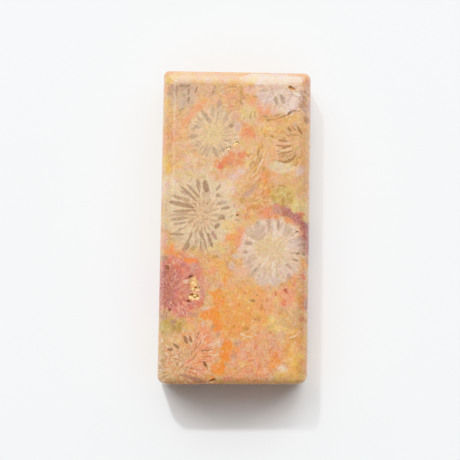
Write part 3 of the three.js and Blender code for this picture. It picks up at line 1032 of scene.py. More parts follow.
def make_cup(name, centre, paints, reach, cover, rays, middle):
    """One cup: its ground with a ragged rim, its middle, and pale and dark rays.

    Paints are those of the ground, the pale rays, the dark rays and the middle. Cover, rays and middle
    say how strongly each of these is laid on.
    """
    ground, pale, dark, middle_paint = (PAINTS[key] for key in paints)
    cup, given = new_group(name, Under="Color", Point="Vector")
    radius, ray, fine_ray = cup.group(cup_group, {"Point": take_turns(cup, given), "Centre": (*centre, 0)})
    rim = cup.math("MULTIPLY_ADD", ray, -RIM_WAVES, cup.math("ADD", radius, RIM_WAVES / 2))
    disc = cup.ease(rim, reach + RIM_SOFTNESS, reach - RIM_SOFTNESS)
    in_middle = cup.ease(rim, *(reach * share for share in MIDDLE_BAND), 0, middle)
    pale_rays = cup.ease(fine_ray, *PALE_RAY_BAND, 0, rays)
    dark_rays = cup.ease(fine_ray, *DARK_RAY_BAND, 0, rays * DARK_RAY_SHARE)
    colour = cup.mix(given["Under"], ground, cup.math("MULTIPLY", disc, cover))
    colour = cup.mix(colour, middle_paint, in_middle)
    colour = cup.mix(colour, pale, cup.math("MULTIPLY", pale_rays, disc))
    colour = cup.mix(colour, dark, cup.math("MULTIPLY", dark_rays, disc))
    return finish_group(cup, Colour=colour)


# %% Ten cups
# Name, centre, paints, reach, cover, rays, middle
CUPS = [
    ("salmon cup", (6.5, -29.2), ("salmon", "pale cream", "red orange", "salmon"), 6.4, 0.0, 0.25, 0.0),
    ("sandy cup", (-12.6, -33.2), ("sand", "pale cream", "brown petal", "olive"), 5.2, 0.4, 0.6, 0.4),
    ("orange cup", (-9.3, -29.4), ("salmon", "pale cream", "red orange", "peach"), 6.2, 0.3, 0.55, 0.0),
    ("rose cup", (-14.1, -14.4), ("rose", "blush", "wine", "rose"), 6.6, 0.1, 0.6, 0.0),
    ("ochre cup", (14.4, 18.2), ("ochre", "yellow", "ochre", "sand"), 4.8, 0.2, 0.4, 0.0),
    ("shell cup", (9.6, 30.6), ("lavender", "white", "mauve", "shell"), 5.2, 0.5, 0.4, 0.0),
    ("corner cup", (-12.2, 29.8), ("grey", "cream", "brown petal", "grey"), 3.4, 0.4, 0.3, 0.0),
    ("head cup", (-5.0, 20.9), ("cream", "pale cream", "grey petal", "lime"), 5.6, 0.7, 0.45, 0.6),
    ("pale cup", (8.3, -5.4), ("shell", "white", "grey", "lime"), 7.2, 0.75, 0.35, 0.45),
    ("cream cup", (-8.0, 2.9), ("cream", "pale cream", "grey", "tan"), 7.8, 0.9, 0.15, 0.4),
]
for cup in CUPS:
    colour = lay(colour, fine, make_cup(*cup))
print(len(CUPS), "cups")

# %% [markdown]
# Mud once filled the gaps between a cup's walls, and each filled gap is a dark petal now. Petals could be
# drawn by a formula, all alike on a ring, and the cup would look stamped. In the real stone one is long,
# its neighbour is missing and a third is bent, and that is what makes each cup a creature of its own, so
# the petals are set one by one, with soft rims.

# %% Petals of the cream cup
PETAL_SOFTNESS = 0.95

colour = lay_marks(colour, fine, "brown petal", PETAL_SOFTNESS, [
    (-8.3, 8.9, 1.6, 0.4, -79, 0.7), (-6.7, 8.8, 1.4, 0.55, -80, 0.9), (-5.9, 7.8, 0.8, 0.3, -60, 0.45),
    (-6.7, 7.1, 0.9, 0.7, 0, 0.3), (-3.8, 8.55, 0.9, 0.25, 50, 0.65), (-3.3, 7.1, 1.2, 0.45, 24, 0.7),
    (-2.9, 5.2, 1.1, 0.4, 12, 0.6), (-2.1, 4.0, 1.1, 0.35, 12, 0.7), (-3.2, 1.6, 0.9, 0.4, 10, 0.6),
    (-4.0, -0.1, 0.7, 0.45, 50, 0.65), (-9.5, 7.8, 2.2, 0.35, -45, 0.6),
    (-10.5, 7.1, 2.6, 0.35, -42, 0.7), (-11.5, 7.2, 1.0, 0.25, -40, 0.45),
    (-12.2, 6.0, 2.3, 0.4, -15, 0.5), (-10.1, 4.9, 1.3, 0.25, -12, 0.4),
    (-12.0, 4.6, 3.0, 0.45, -13, 0.8), (-11.6, 3.2, 2.5, 0.3, 3, 0.65), (-12.5, 2.4, 2.1, 0.4, 8, 0.45),
    (-12.4, 1.4, 2.0, 0.4, 8, 0.6), (-10.2, 1.0, 0.8, 0.25, 70, 0.5), (-11.9, -0.9, 1.4, 0.2, 30, 0.55),
    (-12.9, -2.1, 1.6, 0.35, 0, 0.7), (-12.6, -3.1, 1.8, 0.4, 5, 0.3), (-10.5, -3.7, 2.3, 0.3, 62, 0.65),
    (-10.4, -4.9, 0.8, 0.3, 60, 0.55), (-8.8, -2.3, 1.4, 0.25, 90, 0.45),
    (-9.8, -2.0, 0.8, 0.25, 80, 0.45), (-8.7, -4.4, 1.6, 0.45, 65, 0.4),
    (-7.4, -2.2, 1.3, 0.4, -65, 0.65), (-7.4, -4.5, 1.9, 0.3, -75, 0.4),
    (-6.3, -4.8, 1.9, 0.19, -75, 0.4), (-5.5, -3.3, 1.8, 0.35, -70, 0.85),
    (-4.6, -2.2, 1.1, 0.4, -60, 0.8), (-6.7, 5.0, 0.6, 0.3, 0, 0.25), (-7.9, 4.4, 0.8, 0.14, 90, 0.3),
    (-5.6, 3.4, 0.8, 0.14, 60, 0.3), (-4.8, 1.0, 0.8, 0.14, -30, 0.3), (-6.6, 0.4, 0.9, 0.14, -50, 0.3),
    (-8.4, 0.4, 0.9, 0.14, 70, 0.3), (-9.6, 1.0, 1.0, 0.18, 55, 0.5), (-9.0, 0.2, 0.9, 0.16, 62, 0.45),
    (-8.3, -0.8, 1.0, 0.18, 75, 0.5), (-7.4, -1.2, 1.0, 0.18, 90, 0.45),
    (-6.6, -1.0, 0.9, 0.18, -75, 0.5), (-5.8, -0.6, 0.9, 0.16, -60, 0.45),
    (-5.0, 0.2, 0.9, 0.16, -35, 0.45), (-4.6, 1.2, 0.9, 0.18, -15, 0.45), (-4.4, 2.4, 0.9, 0.16, 5, 0.5),
    (-4.6, 3.5, 0.9, 0.16, 20, 0.45), (-5.2, 4.6, 0.9, 0.16, 45, 0.45), (-6.0, 5.2, 0.9, 0.16, 60, 0.5),
    (-7.0, 5.4, 0.9, 0.14, 80, 0.45), (-8.0, 5.0, 0.8, 0.14, -80, 0.4), (-8.8, 4.4, 0.8, 0.16, -55, 0.45),
    (-9.3, 3.5, 0.9, 0.16, -30, 0.5), (-9.6, 2.3, 1.0, 0.18, 0, 0.45), (-10.6, -4.9, 1.2, 0.25, 66, 0.55),
    (-7.6, -4.9, 1.4, 0.19, 88, 0.55), (-6.6, -4.3, 1.2, 0.3, -80, 0.5), (-8.4, 2.2, 0.6, 0.18, -60, 0.5),
    (-7.2, 1.7, 0.6, 0.16, 70, 0.45), (-7.8, 3.4, 0.7, 0.16, 20, 0.4), (-6.6, 3.0, 0.6, 0.18, -20, 0.5),
    (-6.5, 1.4, 0.6, 0.16, 10, 0.4), (-9.0, 3.2, 0.6, 0.16, 80, 0.45), (-7.4, 0.6, 0.7, 0.16, 30, 0.4),
    (-7.2, 4.4, 0.6, 0.16, -30, 0.4), (-12.3, 0.4, 1.5, 0.3, 12, 0.55), (-2.8, 2.3, 0.4, 0.35, 0, 0.5),
    (-2.4, 1.5, 0.5, 0.2, -10, 0.5), (-9.4, -4.5, 1.3, 0.2, 74, 0.35), (-5.9, -3.9, 1.1, 0.18, -72, 0.35),
    (-4.0, 4.7, 0.4, 0.3, 30, 0.4), (-13.0, 6.3, 0.9, 0.3, -25, 0.4), (-8.9, 7.0, 1.2, 0.2, -62, 0.4),
])

# %% Petals of the head cup
colour = lay_marks(colour, fine, "grey petal", PETAL_SOFTNESS, [
    (-6.9, 24.6, 1.9, 0.4, -52, 0.7), (-5.6, 25.9, 1.2, 0.45, 85, 0.3), (-4.0, 26.8, 1.5, 0.45, 85, 0.4),
    (-4.3, 24.6, 1.4, 0.3, 85, 0.25), (-2.6, 24.3, 1.3, 0.4, 75, 0.35), (-1.6, 25.8, 0.9, 0.45, 60, 0.3),
    (-8.6, 24.3, 0.9, 0.3, -40, 0.4), (-8.0, 23.5, 0.8, 0.3, -35, 0.3), (-8.9, 22.1, 1.0, 0.35, 10, 0.55),
    (-9.8, 21.6, 0.5, 0.3, -30, 0.5), (-9.8, 20.1, 1.0, 0.4, 8, 0.65), (-9.6, 19.6, 0.6, 0.35, -20, 0.4),
    (-9.4, 18.0, 0.9, 0.3, 20, 0.35), (-9.4, 16.9, 0.9, 0.3, 32, 0.3), (-8.0, 17.2, 1.0, 0.3, 48, 0.3),
    (-7.3, 16.5, 1.1, 0.3, 60, 0.35), (-6.4, 16.5, 1.2, 0.4, 74, 0.4), (-5.7, 17.6, 0.9, 0.25, 80, 0.3),
    (-4.7, 16.6, 1.3, 0.4, -63, 0.65), (-3.8, 16.7, 0.9, 0.3, -60, 0.3), (-2.8, 17.2, 1.0, 0.35, 50, 0.4),
    (-2.3, 20.4, 0.9, 0.2, 0, 0.25), (-6.6, 23.8, 0.9, 0.25, -60, 0.25), (-2.0, 22.0, 0.9, 0.25, 20, 0.3),
    (-5.2, 25.4, 1.4, 0.35, 88, 0.35), (-3.4, 25.6, 1.2, 0.35, 80, 0.35),
    (-1.2, 23.0, 1.0, 0.35, 30, 0.4), (-9.2, 22.5, 0.7, 0.25, -10, 0.4),
    (-8.4, 18.4, 0.9, 0.25, 30, 0.35), (-3.2, 17.4, 0.9, 0.3, -50, 0.4), (-6.9, 17.4, 0.9, 0.2, 68, 0.35),
    (-1.9, 21.2, 0.8, 0.25, 8, 0.35), (-2.4, 19.2, 0.7, 0.2, -25, 0.3),
])

# %% Petals of the pale cup
colour = lay_marks(colour, fine, "grey petal", PETAL_SOFTNESS, [
    (3.1, -3.85, 0.9, 0.45, -8, 0.7), (2.4, -5.9, 0.5, 0.35, 0, 0.75), (4.3, -10.3, 1.2, 0.35, 55, 0.6),
    (12.1, -8.9, 0.8, 0.35, -35, 0.5), (12.2, -11.1, 0.8, 0.45, -50, 0.4),
    (14.7, -3.9, 1.0, 0.4, 25, 0.5), (14.3, -2.8, 0.7, 0.3, 20, 0.4), (12.8, -3.1, 0.9, 0.35, 40, 0.5),
    (11.5, -1.1, 1.2, 1.0, 0, 0.3), (9.7, 0.4, 1.1, 0.35, 88, 0.5), (10.5, 0.3, 0.7, 0.25, 80, 0.35),
    (7.4, 1.0, 0.9, 0.45, 85, 0.4), (6.6, -0.2, 0.9, 0.3, 75, 0.3), (5.2, -2.0, 1.2, 1.25, 0, 0.3),
    (5.2, -0.2, 1.1, 1.0, 0, 0.35), (4.8, 0.3, 0.8, 0.4, 70, 0.3), (8.4, -0.8, 1.3, 0.25, 85, 0.25),
    (3.3, -1.8, 1.0, 0.5, -30, 0.3), (2.9, -8.2, 0.9, 0.3, 25, 0.35), (3.6, -9.1, 1.0, 0.25, 36, 0.3),
    (9.6, -10.4, 0.9, 0.3, -80, 0.25), (8.0, -10.8, 0.9, 0.3, 85, 0.25),
    (10.8, -10.5, 0.9, 0.3, -60, 0.25), (13.2, -9.0, 0.7, 0.3, -25, 0.35),
    (13.1, -5.8, 0.8, 0.25, 0, 0.35), (5.4, -11.4, 0.9, 0.25, 60, 0.3), (3.3, -11.3, 0.5, 0.2, 80, 0.4),
    (11.6, 0.6, 0.7, 0.3, 60, 0.3), (13.3, -1.6, 0.8, 0.3, 35, 0.25), (6.1, -1.0, 1.3, 0.2, 60, 0.35),
    (7.7, 0.1, 1.5, 0.35, 85, 0.55), (9.6, 0.3, 1.2, 0.3, 82, 0.5), (5.1, 0.2, 1.1, 0.4, 80, 0.4),
    (4.0, -10.4, 1.4, 0.3, 48, 0.6), (5.3, -9.2, 1.1, 0.2, 50, 0.4), (3.1, -9.4, 1.0, 0.25, 32, 0.4),
    (12.3, -8.9, 0.7, 0.25, -50, 0.5), (6.4, -2.2, 1.0, 0.2, 55, 0.35), (13.9, -5.9, 0.6, 0.25, 5, 0.5),
    (4.5, -2.6, 1.2, 0.4, -20, 0.35), (3.6, -0.9, 0.9, 0.3, -45, 0.35), (12.2, -0.9, 1.0, 0.3, 45, 0.4),
])

# %% Petals of the ochre cup
colour = lay_marks(colour, fine, "umber", PETAL_SOFTNESS, [
    (10.5, 19.4, 1.1, 0.3, -8, 0.8), (10.6, 19.9, 0.6, 0.14, 20, 0.45), (10.0, 18.2, 1.2, 0.19, -5, 0.8),
    (11.3, 18.0, 1.1, 0.25, 15, 0.8), (12.0, 18.3, 0.5, 0.14, 20, 0.55), (10.7, 17.6, 0.6, 0.19, 0, 0.45),
    (10.3, 16.6, 1.0, 0.17, 10, 0.6), (11.4, 16.7, 1.1, 0.19, 20, 0.7), (12.4, 17.1, 0.7, 0.17, 30, 0.55),
    (10.6, 15.9, 1.1, 0.16, 15, 0.55), (12.0, 16.1, 1.0, 0.16, 30, 0.55),
    (10.6, 14.6, 1.2, 0.25, -8, 0.8), (11.8, 14.9, 1.1, 0.35, 20, 0.9), (12.9, 15.6, 1.0, 0.25, 50, 0.85),
    (13.2, 16.1, 0.35, 0.14, 70, 0.6), (13.6, 14.2, 0.7, 0.17, 75, 0.6),
    (13.2, 13.9, 0.5, 0.14, 30, 0.45), (12.6, 13.9, 0.6, 0.14, 60, 0.35),
    (11.9, 22.0, 0.7, 0.3, -50, 0.9), (14.1, 21.9, 1.0, 0.3, -58, 0.9),
    (14.6, 21.2, 0.5, 0.18, -60, 0.55), (13.4, 20.7, 1.1, 0.16, -5, 0.55),
    (12.4, 20.8, 0.5, 0.16, 20, 0.45), (12.9, 23.1, 0.6, 0.4, 0, 0.45), (9.6, 17.1, 0.6, 0.14, 10, 0.45),
    (15.6, 24.4, 0.8, 0.5, 80, 0.55), (14.9, 14.8, 0.6, 0.19, 80, 0.25),
    (13.4, 17.0, 1.0, 0.14, 50, 0.45), (13.7, 15.4, 0.7, 0.16, 58, 0.5),
    (14.6, 16.0, 0.7, 0.16, 65, 0.35), (9.4, 15.0, 1.1, 0.16, -5, 0.4), (9.2, 16.2, 1.0, 0.13, 5, 0.35),
    (13.8, 18.0, 1.0, 0.14, 35, 0.35), (11.6, 20.6, 0.6, 0.18, -20, 0.55),
    (12.9, 22.2, 0.7, 0.2, -50, 0.65), (10.4, 21.4, 0.6, 0.18, -30, 0.45),
])

# %% Petals of the orange cup
colour = lay_marks(colour, fine, "dark brown", PETAL_SOFTNESS, [
    (-10.5, -25.6, 0.9, 0.4, -68, 0.7), (-9.4, -25.4, 0.8, 0.3, -76, 0.7),
    (-12.5, -27.0, 0.8, 0.35, -32, 0.7), (-13.9, -27.8, 0.7, 0.3, -12, 0.7),
    (-7.8, -24.6, 1.0, 0.16, 75, 0.55), (-7.2, -26.0, 0.8, 0.15, 70, 0.4),
    (-8.2, -27.0, 1.1, 0.15, 72, 0.55), (-9.0, -28.4, 0.7, 0.14, 70, 0.5),
    (-8.4, -29.2, 0.8, 0.14, 58, 0.5), (-6.0, -27.85, 1.2, 0.18, 6, 0.7),
    (-4.6, -27.7, 0.6, 0.14, 0, 0.5), (-5.6, -29.2, 1.2, 0.14, 8, 0.5), (-6.4, -28.5, 0.9, 0.11, 4, 0.4),
    (-5.6, -31.6, 0.4, 0.17, -60, 0.5), (-8.9, -32.0, 0.9, 0.14, -15, 0.4),
    (-10.4, -28.2, 0.8, 0.11, -72, 0.4), (-11.2, -28.6, 0.8, 0.11, -58, 0.4),
    (-9.9, -27.8, 0.7, 0.11, -82, 0.4), (-11.8, -29.3, 0.9, 0.11, -30, 0.4),
    (-12.4, -29.9, 0.8, 0.11, -14, 0.4), (-12.2, -31.0, 0.4, 0.25, 80, 0.55),
    (-11.1, -31.4, 0.8, 0.11, 42, 0.4), (-10.2, -31.9, 0.8, 0.11, 60, 0.4),
    (-9.2, -31.7, 0.8, 0.11, 86, 0.4),
])

# %% Petals of the shell cup
colour = lay_marks(colour, fine, "grey petal", PETAL_SOFTNESS, [
    (8.8, 28.5, 1.0, 0.45, -76, 0.75), (10.2, 28.9, 1.1, 0.5, -68, 0.75),
    (12.3, 29.8, 0.6, 0.5, -30, 0.35), (5.4, 30.6, 0.7, 0.3, 20, 0.3), (6.5, 30.9, 0.8, 0.35, -40, 0.2),
    (8.0, 30.4, 0.8, 0.3, -70, 0.2), (13.9, 29.3, 0.9, 0.2, -25, 0.4), (14.6, 29.8, 0.9, 0.2, -35, 0.4),
    (14.9, 30.7, 0.9, 0.17, -10, 0.4), (15.2, 29.1, 0.8, 0.2, -40, 0.4), (14.2, 28.0, 0.6, 0.4, 80, 0.35),
    (15.4, 27.4, 0.3, 0.3, 0, 0.4), (15.3, 26.4, 0.7, 0.2, -30, 0.3), (14.2, 34.4, 0.9, 0.14, -10, 0.35),
])

# %% [markdown]
# Last come the marks that lie over everything: cracks and pits filled brown, pale ridges between the
# petals, bronze and red streaks, and clouds of white and lavender where the agate is clearest. They go on
# as the first marks did, but their point wanders less, because they are sharper. The crystals in the
# pockets get their gold in the same way, from a point that doesn't wander at all, so that the gold falls
# where the pockets were cut. Over the gold goes a painted glint, lighter than any other paint, and one pit
# wall is painted lighter to take out its shade.

# %% Brown specks
colour = lay_marks(colour, fine, "brown petal", 0.7, [
    (-13.7, 30.5, 1.3, 0.35, 88, 0.75), (-11.9, 31.5, 1.3, 0.35, 0, 0.65),
    (-10.9, 30.2, 0.8, 0.3, 80, 0.75), (-10.9, 28.4, 0.6, 0.35, 80, 0.75),
    (-9.2, 30.7, 0.9, 0.25, 75, 0.65), (-12.5, 26.1, 0.7, 0.2, 30, 0.65), (-1.1, 31.5, 1.0, 0.2, 0, 0.55),
    (-1.1, 22.6, 0.6, 0.5, 0, 0.65), (0.9, 27.9, 0.5, 0.25, -45, 0.65), (3.1, 25.0, 0.9, 0.2, 80, 0.45),
    (4.1, 25.4, 0.7, 0.2, 80, 0.45), (6.5, 24.9, 0.6, 0.4, 0, 0.55), (7.2, 24.1, 0.6, 0.25, 10, 0.65),
    (4.1, 29.3, 0.45, 0.3, 0, 0.45), (9.2, 25.2, 0.7, 0.2, 10, 0.7), (10.4, 24.9, 0.5, 0.2, 0, 0.65),
    (7.8, 20.3, 0.3, 0.2, 0, 0.65), (-1.9, 19.3, 0.9, 0.15, 0, 0.45), (6.4, -18.3, 0.6, 0.15, 80, 0.55),
    (4.8, -20.8, 0.3, 0.2, 0, 0.55), (5.8, -20.9, 0.5, 0.2, 80, 0.55), (3.3, -24.0, 0.4, 0.15, 0, 0.55),
    (-13.1, -23.0, 0.7, 0.35, 80, 0.55), (13.6, -7.4, 0.7, 0.3, -10, 0.65),
    (14.2, -5.9, 0.5, 0.3, 0, 0.7), (15.3, -5.9, 0.4, 0.3, 0, 0.65),
])

# %% Dark cracks and pits
colour = lay_marks(colour, fine, "dark brown", 0.6, [
    (11.8, 25.7, 0.7, 0.25, 42, 0.9), (9.6, 24.6, 0.7, 0.15, 18, 0.6), (8.2, 24.1, 0.8, 0.13, 5, 0.5),
    (10.7, 25.1, 0.5, 0.16, 40, 0.7), (7.0, 24.0, 0.5, 0.15, -30, 0.4), (12.9, 26.2, 0.6, 0.15, 5, 0.8),
    (13.9, 26.1, 0.4, 0.12, -30, 0.5), (-3.0, 2.0, 0.9, 0.4, -20, 0.3), (-4.0, -0.1, 0.7, 0.4, 55, 0.3),
    (0.5, 1.35, 0.7, 0.15, 0, 0.35), (-9.9, -11.5, 0.6, 0.25, 25, 0.55),
    (-10.2, -16.9, 0.5, 0.25, -28, 0.6), (-14.1, -19.0, 0.4, 0.4, 0, 0.8),
    (-15.0, -9.4, 0.7, 0.35, -55, 0.8), (-6.1, -30.9, 0.7, 0.3, -55, 0.9),
    (4.2, -16.6, 0.6, 0.4, -20, 0.55), (5.2, -15.4, 0.25, 0.18, 0, 0.5),
    (11.5, -14.2, 0.5, 0.35, -50, 0.45), (-2.3, -16.0, 0.3, 0.2, 0, 0.4), (9.4, -14.9, 0.3, 0.2, 80, 0.4),
])

# %% Umber grains
colour = lay_marks(colour, fine, "umber", 0.8, [
    (4.9, 16.8, 0.9, 0.2, 75, 0.55), (5.4, 15.2, 1.0, 0.2, 60, 0.5), (3.6, 14.2, 0.8, 0.2, 45, 0.5),
    (4.4, 12.6, 1.0, 0.2, 50, 0.5), (2.6, 12.0, 0.7, 0.2, 40, 0.4), (6.2, 12.8, 0.8, 0.2, 70, 0.5),
    (3.2, 16.2, 0.8, 0.2, 30, 0.4), (5.8, 18.2, 0.7, 0.2, 80, 0.5), (7.4, 11.6, 0.7, 0.2, 80, 0.4),
    (5.2, 9.2, 0.9, 0.2, 60, 0.4), (4.6, 5.8, 0.8, 0.2, 30, 0.45), (6.6, 6.6, 0.7, 0.2, 50, 0.45),
    (-0.8, 2.2, 0.4, 0.2, 30, 0.5), (-1.7, -0.7, 0.35, 0.2, 0, 0.5), (0.5, -4.8, 0.35, 0.2, 60, 0.45),
    (-1.8, -5.2, 0.35, 0.2, 0, 0.45), (-0.6, -7.2, 0.4, 0.2, 40, 0.45), (-0.3, 4.6, 0.4, 0.2, 80, 0.45),
    (8.1, 20.3, 0.4, 0.16, -40, 0.7), (6.4, 20.7, 0.35, 0.14, 20, 0.6), (8.8, 21.4, 0.35, 0.15, 0, 0.6),
    (5.6, 21.8, 0.35, 0.14, 30, 0.5), (7.6, 22.8, 0.35, 0.14, 0, 0.5), (1.4, 29.2, 0.5, 0.16, 80, 0.5),
    (0.4, 26.4, 0.5, 0.2, 70, 0.4), (1.6, 24.2, 0.4, 0.18, 80, 0.4), (-5.4, 30.2, 0.7, 0.2, 80, 0.4),
])

# %% Bronze streaks
colour = lay_marks(colour, fine, "bronze", 0.9, [
    (5.2, 10.3, 0.9, 0.3, 50, 0.55), (6.7, 9.6, 0.9, 0.35, 65, 0.6), (7.4, 8.0, 0.9, 0.35, 80, 0.6),
    (6.1, 7.7, 0.8, 0.3, 40, 0.55), (7.8, 6.8, 0.8, 0.3, 20, 0.5), (4.9, 4.3, 1.3, 0.5, 12, 0.55),
    (3.1, 4.0, 0.9, 0.35, 60, 0.5), (4.3, 6.4, 0.8, 0.3, 50, 0.5), (8.4, 4.2, 0.8, 0.4, -35, 0.6),
    (6.9, 5.3, 0.7, 0.3, 20, 0.5), (2.7, 1.9, 0.8, 0.4, 10, 0.45), (6.0, 3.2, 0.8, 0.3, -15, 0.45),
    (3.4, 10.9, 0.7, 0.3, 40, 0.45), (7.0, 11.4, 0.8, 0.3, 70, 0.45), (2.5, -15.0, 0.5, 0.3, 40, 0.5),
    (3.6, -14.4, 0.5, 0.3, -40, 0.5), (6.2, -18.0, 0.7, 0.4, 70, 0.5), (5.3, -20.6, 0.6, 0.4, 30, 0.5),
    (2.6, -23.0, 0.8, 0.5, 0, 0.6), (1.2, -17.6, 0.5, 0.3, 60, 0.4), (-0.6, -19.4, 0.5, 0.3, -30, 0.4),
    (0.2, -22.4, 0.5, 0.3, 80, 0.45), (3.4, -19.6, 0.5, 0.3, 0, 0.4), (7.4, -16.4, 0.6, 0.25, 75, 0.45),
    (10.2, -19.4, 0.5, 0.3, 40, 0.4), (-1.4, -21.6, 0.5, 0.3, 20, 0.4), (8.0, -23.6, 0.5, 0.3, 0, 0.4),
    (0.6, -13.2, 0.5, 0.3, 70, 0.4), (2.0, -12.4, 0.5, 0.25, 30, 0.4), (-3.0, -13.6, 0.5, 0.3, 80, 0.4),
])

# %% Light flecks
colour = lay_marks(colour, fine, "butter", 0.9, [
    (0.4, -14.6, 0.5, 0.25, 60, 0.5), (3.4, -18.3, 0.45, 0.25, 20, 0.5),
    (1.1, -16.2, 0.4, 0.25, -30, 0.5), (6.9, -22.0, 0.5, 0.3, 10, 0.5), (2.3, -21.8, 0.5, 0.3, 70, 0.6),
    (-0.9, -17.6, 0.4, 0.25, 0, 0.5), (1.6, -19.6, 0.4, 0.2, 50, 0.45), (8.9, -20.9, 0.6, 0.35, 0, 0.5),
    (8.0, -15.2, 0.7, 0.16, 75, 0.6), (9.4, -16.2, 0.7, 0.16, 60, 0.6), (5.6, 9.0, 0.5, 0.2, 50, 0.5),
    (6.6, 8.7, 0.4, 0.18, 70, 0.5), (4.4, 5.3, 0.5, 0.18, 20, 0.45), (3.6, 2.9, 0.45, 0.2, 40, 0.5),
    (5.6, 5.9, 0.45, 0.18, 60, 0.45), (2.2, 3.2, 0.45, 0.2, 0, 0.45), (-0.3, -1.4, 0.5, 0.3, 60, 0.6),
    (7.7, 5.8, 0.4, 0.2, 0, 0.4),
])

# %% Moss green threads
colour = lay_marks(colour, fine, "moss", 0.9, [
    (10.4, 9.2, 0.9, 0.25, -5, 0.8), (9.5, 8.1, 0.7, 0.25, 75, 0.7), (10.7, 5.8, 1.1, 0.2, 88, 0.9),
    (11.8, 7.3, 0.6, 0.2, 15, 0.8), (12.3, 6.1, 0.7, 0.5, 80, 0.5), (8.4, 8.9, 0.5, 0.25, 30, 0.5),
    (8.6, 6.4, 0.6, 0.35, 40, 0.5), (1.5, 5.8, 0.8, 0.5, 80, 0.6), (0.9, 30.0, 2.0, 0.25, 88, 0.5),
    (5.0, 16.6, 1.6, 0.25, 82, 0.6), (4.3, 14.0, 0.8, 0.3, 60, 0.5), (-4.2, -7.0, 0.7, 0.35, 0, 0.6),
    (-11.9, -23.0, 1.2, 0.5, 85, 0.6), (-15.6, -30.2, 0.7, 0.3, 0, 0.5), (5.3, 14.6, 1.3, 0.2, 70, 0.5),
    (-13.8, 13.9, 0.9, 0.35, 40, 0.4), (13.1, -25.0, 0.8, 0.2, 20, 0.4), (2.9, -22.9, 0.6, 0.6, 0, 0.4),
])

# %% Pale ridges, and painted sheen on the head edge
colour = lay_marks(colour, fine, "pale cream", 0.8, [
    (5.9, 14.6, 0.9, 0.13, 62, 0.6), (4.3, 15.3, 0.8, 0.13, 48, 0.5), (3.9, 11.5, 0.9, 0.13, 42, 0.5),
    (6.9, 15.6, 0.7, 0.13, 72, 0.4), (5.6, 7.8, 0.8, 0.13, 40, 0.4), (8.4, 19.4, 0.5, 0.15, 20, 0.5),
    (5.4, 14.0, 1.6, 0.14, 66, 0.7), (6.3, 16.6, 0.9, 0.12, 75, 0.5), (4.8, 11.0, 0.9, 0.12, 40, 0.6),
    (-2.6, 7.9, 1.3, 0.9, 40, 0.6), (-15.9, -25.7, 0.5, 0.3, 80, 0.75), (-10.7, -12.6, 0.5, 0.4, 0, 0.6),
    (2.1, -24.2, 0.6, 0.3, -20, 0.7), (3.5, -24.7, 0.9, 0.14, 8, 0.6), (13.5, -24.4, 1.1, 0.15, 28, 0.75),
    # The marks at y 33.3 and 33.4 lie on the head edge: partly painted sheen of the polished rounding
    (11.0, -31.6, 1.1, 0.6, 0, 0.6), (8.0, 33.3, 2.4, 0.8, 0, 0.5), (13.6, 33.4, 1.0, 0.7, 0, 0.5),
    (11.0, 17.3, 1.3, 0.2, 12, 0.6), (11.4, 18.8, 0.9, 0.2, 0, 0.4), (5.6, -8.0, 0.9, 0.14, 35, 0.7),
    (4.0, -10.0, 0.9, 0.14, 50, 0.6), (11.5, -6.5, 1.6, 0.12, 0, 0.5), (-5.5, 7.4, 1.6, 0.15, -84, 0.6),
    (-4.7, 6.4, 1.4, 0.15, 72, 0.6), (-9.0, -3.3, 1.5, 0.13, 78, 0.5), (-8.0, -3.6, 1.5, 0.13, 88, 0.5),
    (-6.5, -2.7, 1.3, 0.13, -68, 0.5), (-11.4, 0.9, 1.6, 0.12, 12, 0.5), (-7.8, 7.6, 1.2, 0.13, -76, 0.5),
    (-10.2, 6.2, 1.4, 0.12, -36, 0.45), (-11.6, 3.8, 1.8, 0.12, -6, 0.5), (-4.3, 3.1, 1.0, 0.13, 12, 0.5),
    (-4.6, 1.6, 0.9, 0.13, -12, 0.45), (-10.3, -1.4, 1.3, 0.13, 52, 0.5),
])

# %% A yellow cloud beside the cream cup
colour = lay_marks(colour, fine, "yellow", 1.0, [(-1.4, 0.1, 1.5, 1.1, 0, 0.5)])

# %% Dusky and red rays at the foot
colour = lay_marks(colour, fine, "dusk", 0.8, [
    (-9.4, -33.8, 2.2, 0.3, -12, 0.8), (-7.4, -34.5, 1.6, 0.4, -12, 0.7),
    (-10.0, -25.9, 0.9, 0.4, -75, 0.3), (-8.6, -26.4, 1.6, 0.14, 68, 0.5),
    (-7.7, -27.2, 1.5, 0.14, 60, 0.5), (-9.4, -28.2, 1.2, 0.14, 72, 0.4),
    (-10.8, -33.4, 0.9, 0.2, -5, 0.6), (-11.9, -28.4, 1.0, 0.14, -75, 0.35),
    (-12.8, -28.8, 0.9, 0.14, -60, 0.35),
])
colour = lay_marks(colour, fine, "red", 0.8, [
    (-8.6, -31.9, 1.4, 0.16, -8, 0.5), (-7.0, -32.2, 1.2, 0.14, 5, 0.5),
    (-9.8, -30.4, 1.1, 0.16, 40, 0.5), (-9.0, -32.8, 1.3, 0.14, -18, 0.45),
    (-7.6, -30.6, 1.2, 0.14, 12, 0.4), (-6.6, -29.9, 1.1, 0.12, 15, 0.4),
    (-5.2, -25.9, 1.0, 0.14, 45, 0.4), (5.0, -27.0, 0.9, 0.2, 60, 0.35),
    (6.6, -28.4, 0.9, 0.2, -70, 0.35), (4.0, -30.0, 0.8, 0.2, 20, 0.35), (7.6, -30.2, 0.9, 0.2, -40, 0.4),
    (8.4, -27.6, 0.8, 0.2, 70, 0.35), (5.4, -32.8, 0.9, 0.2, 85, 0.4), (8.6, -32.4, 0.9, 0.2, -60, 0.35),
    (3.4, -28.2, 0.7, 0.16, -20, 0.3),
])

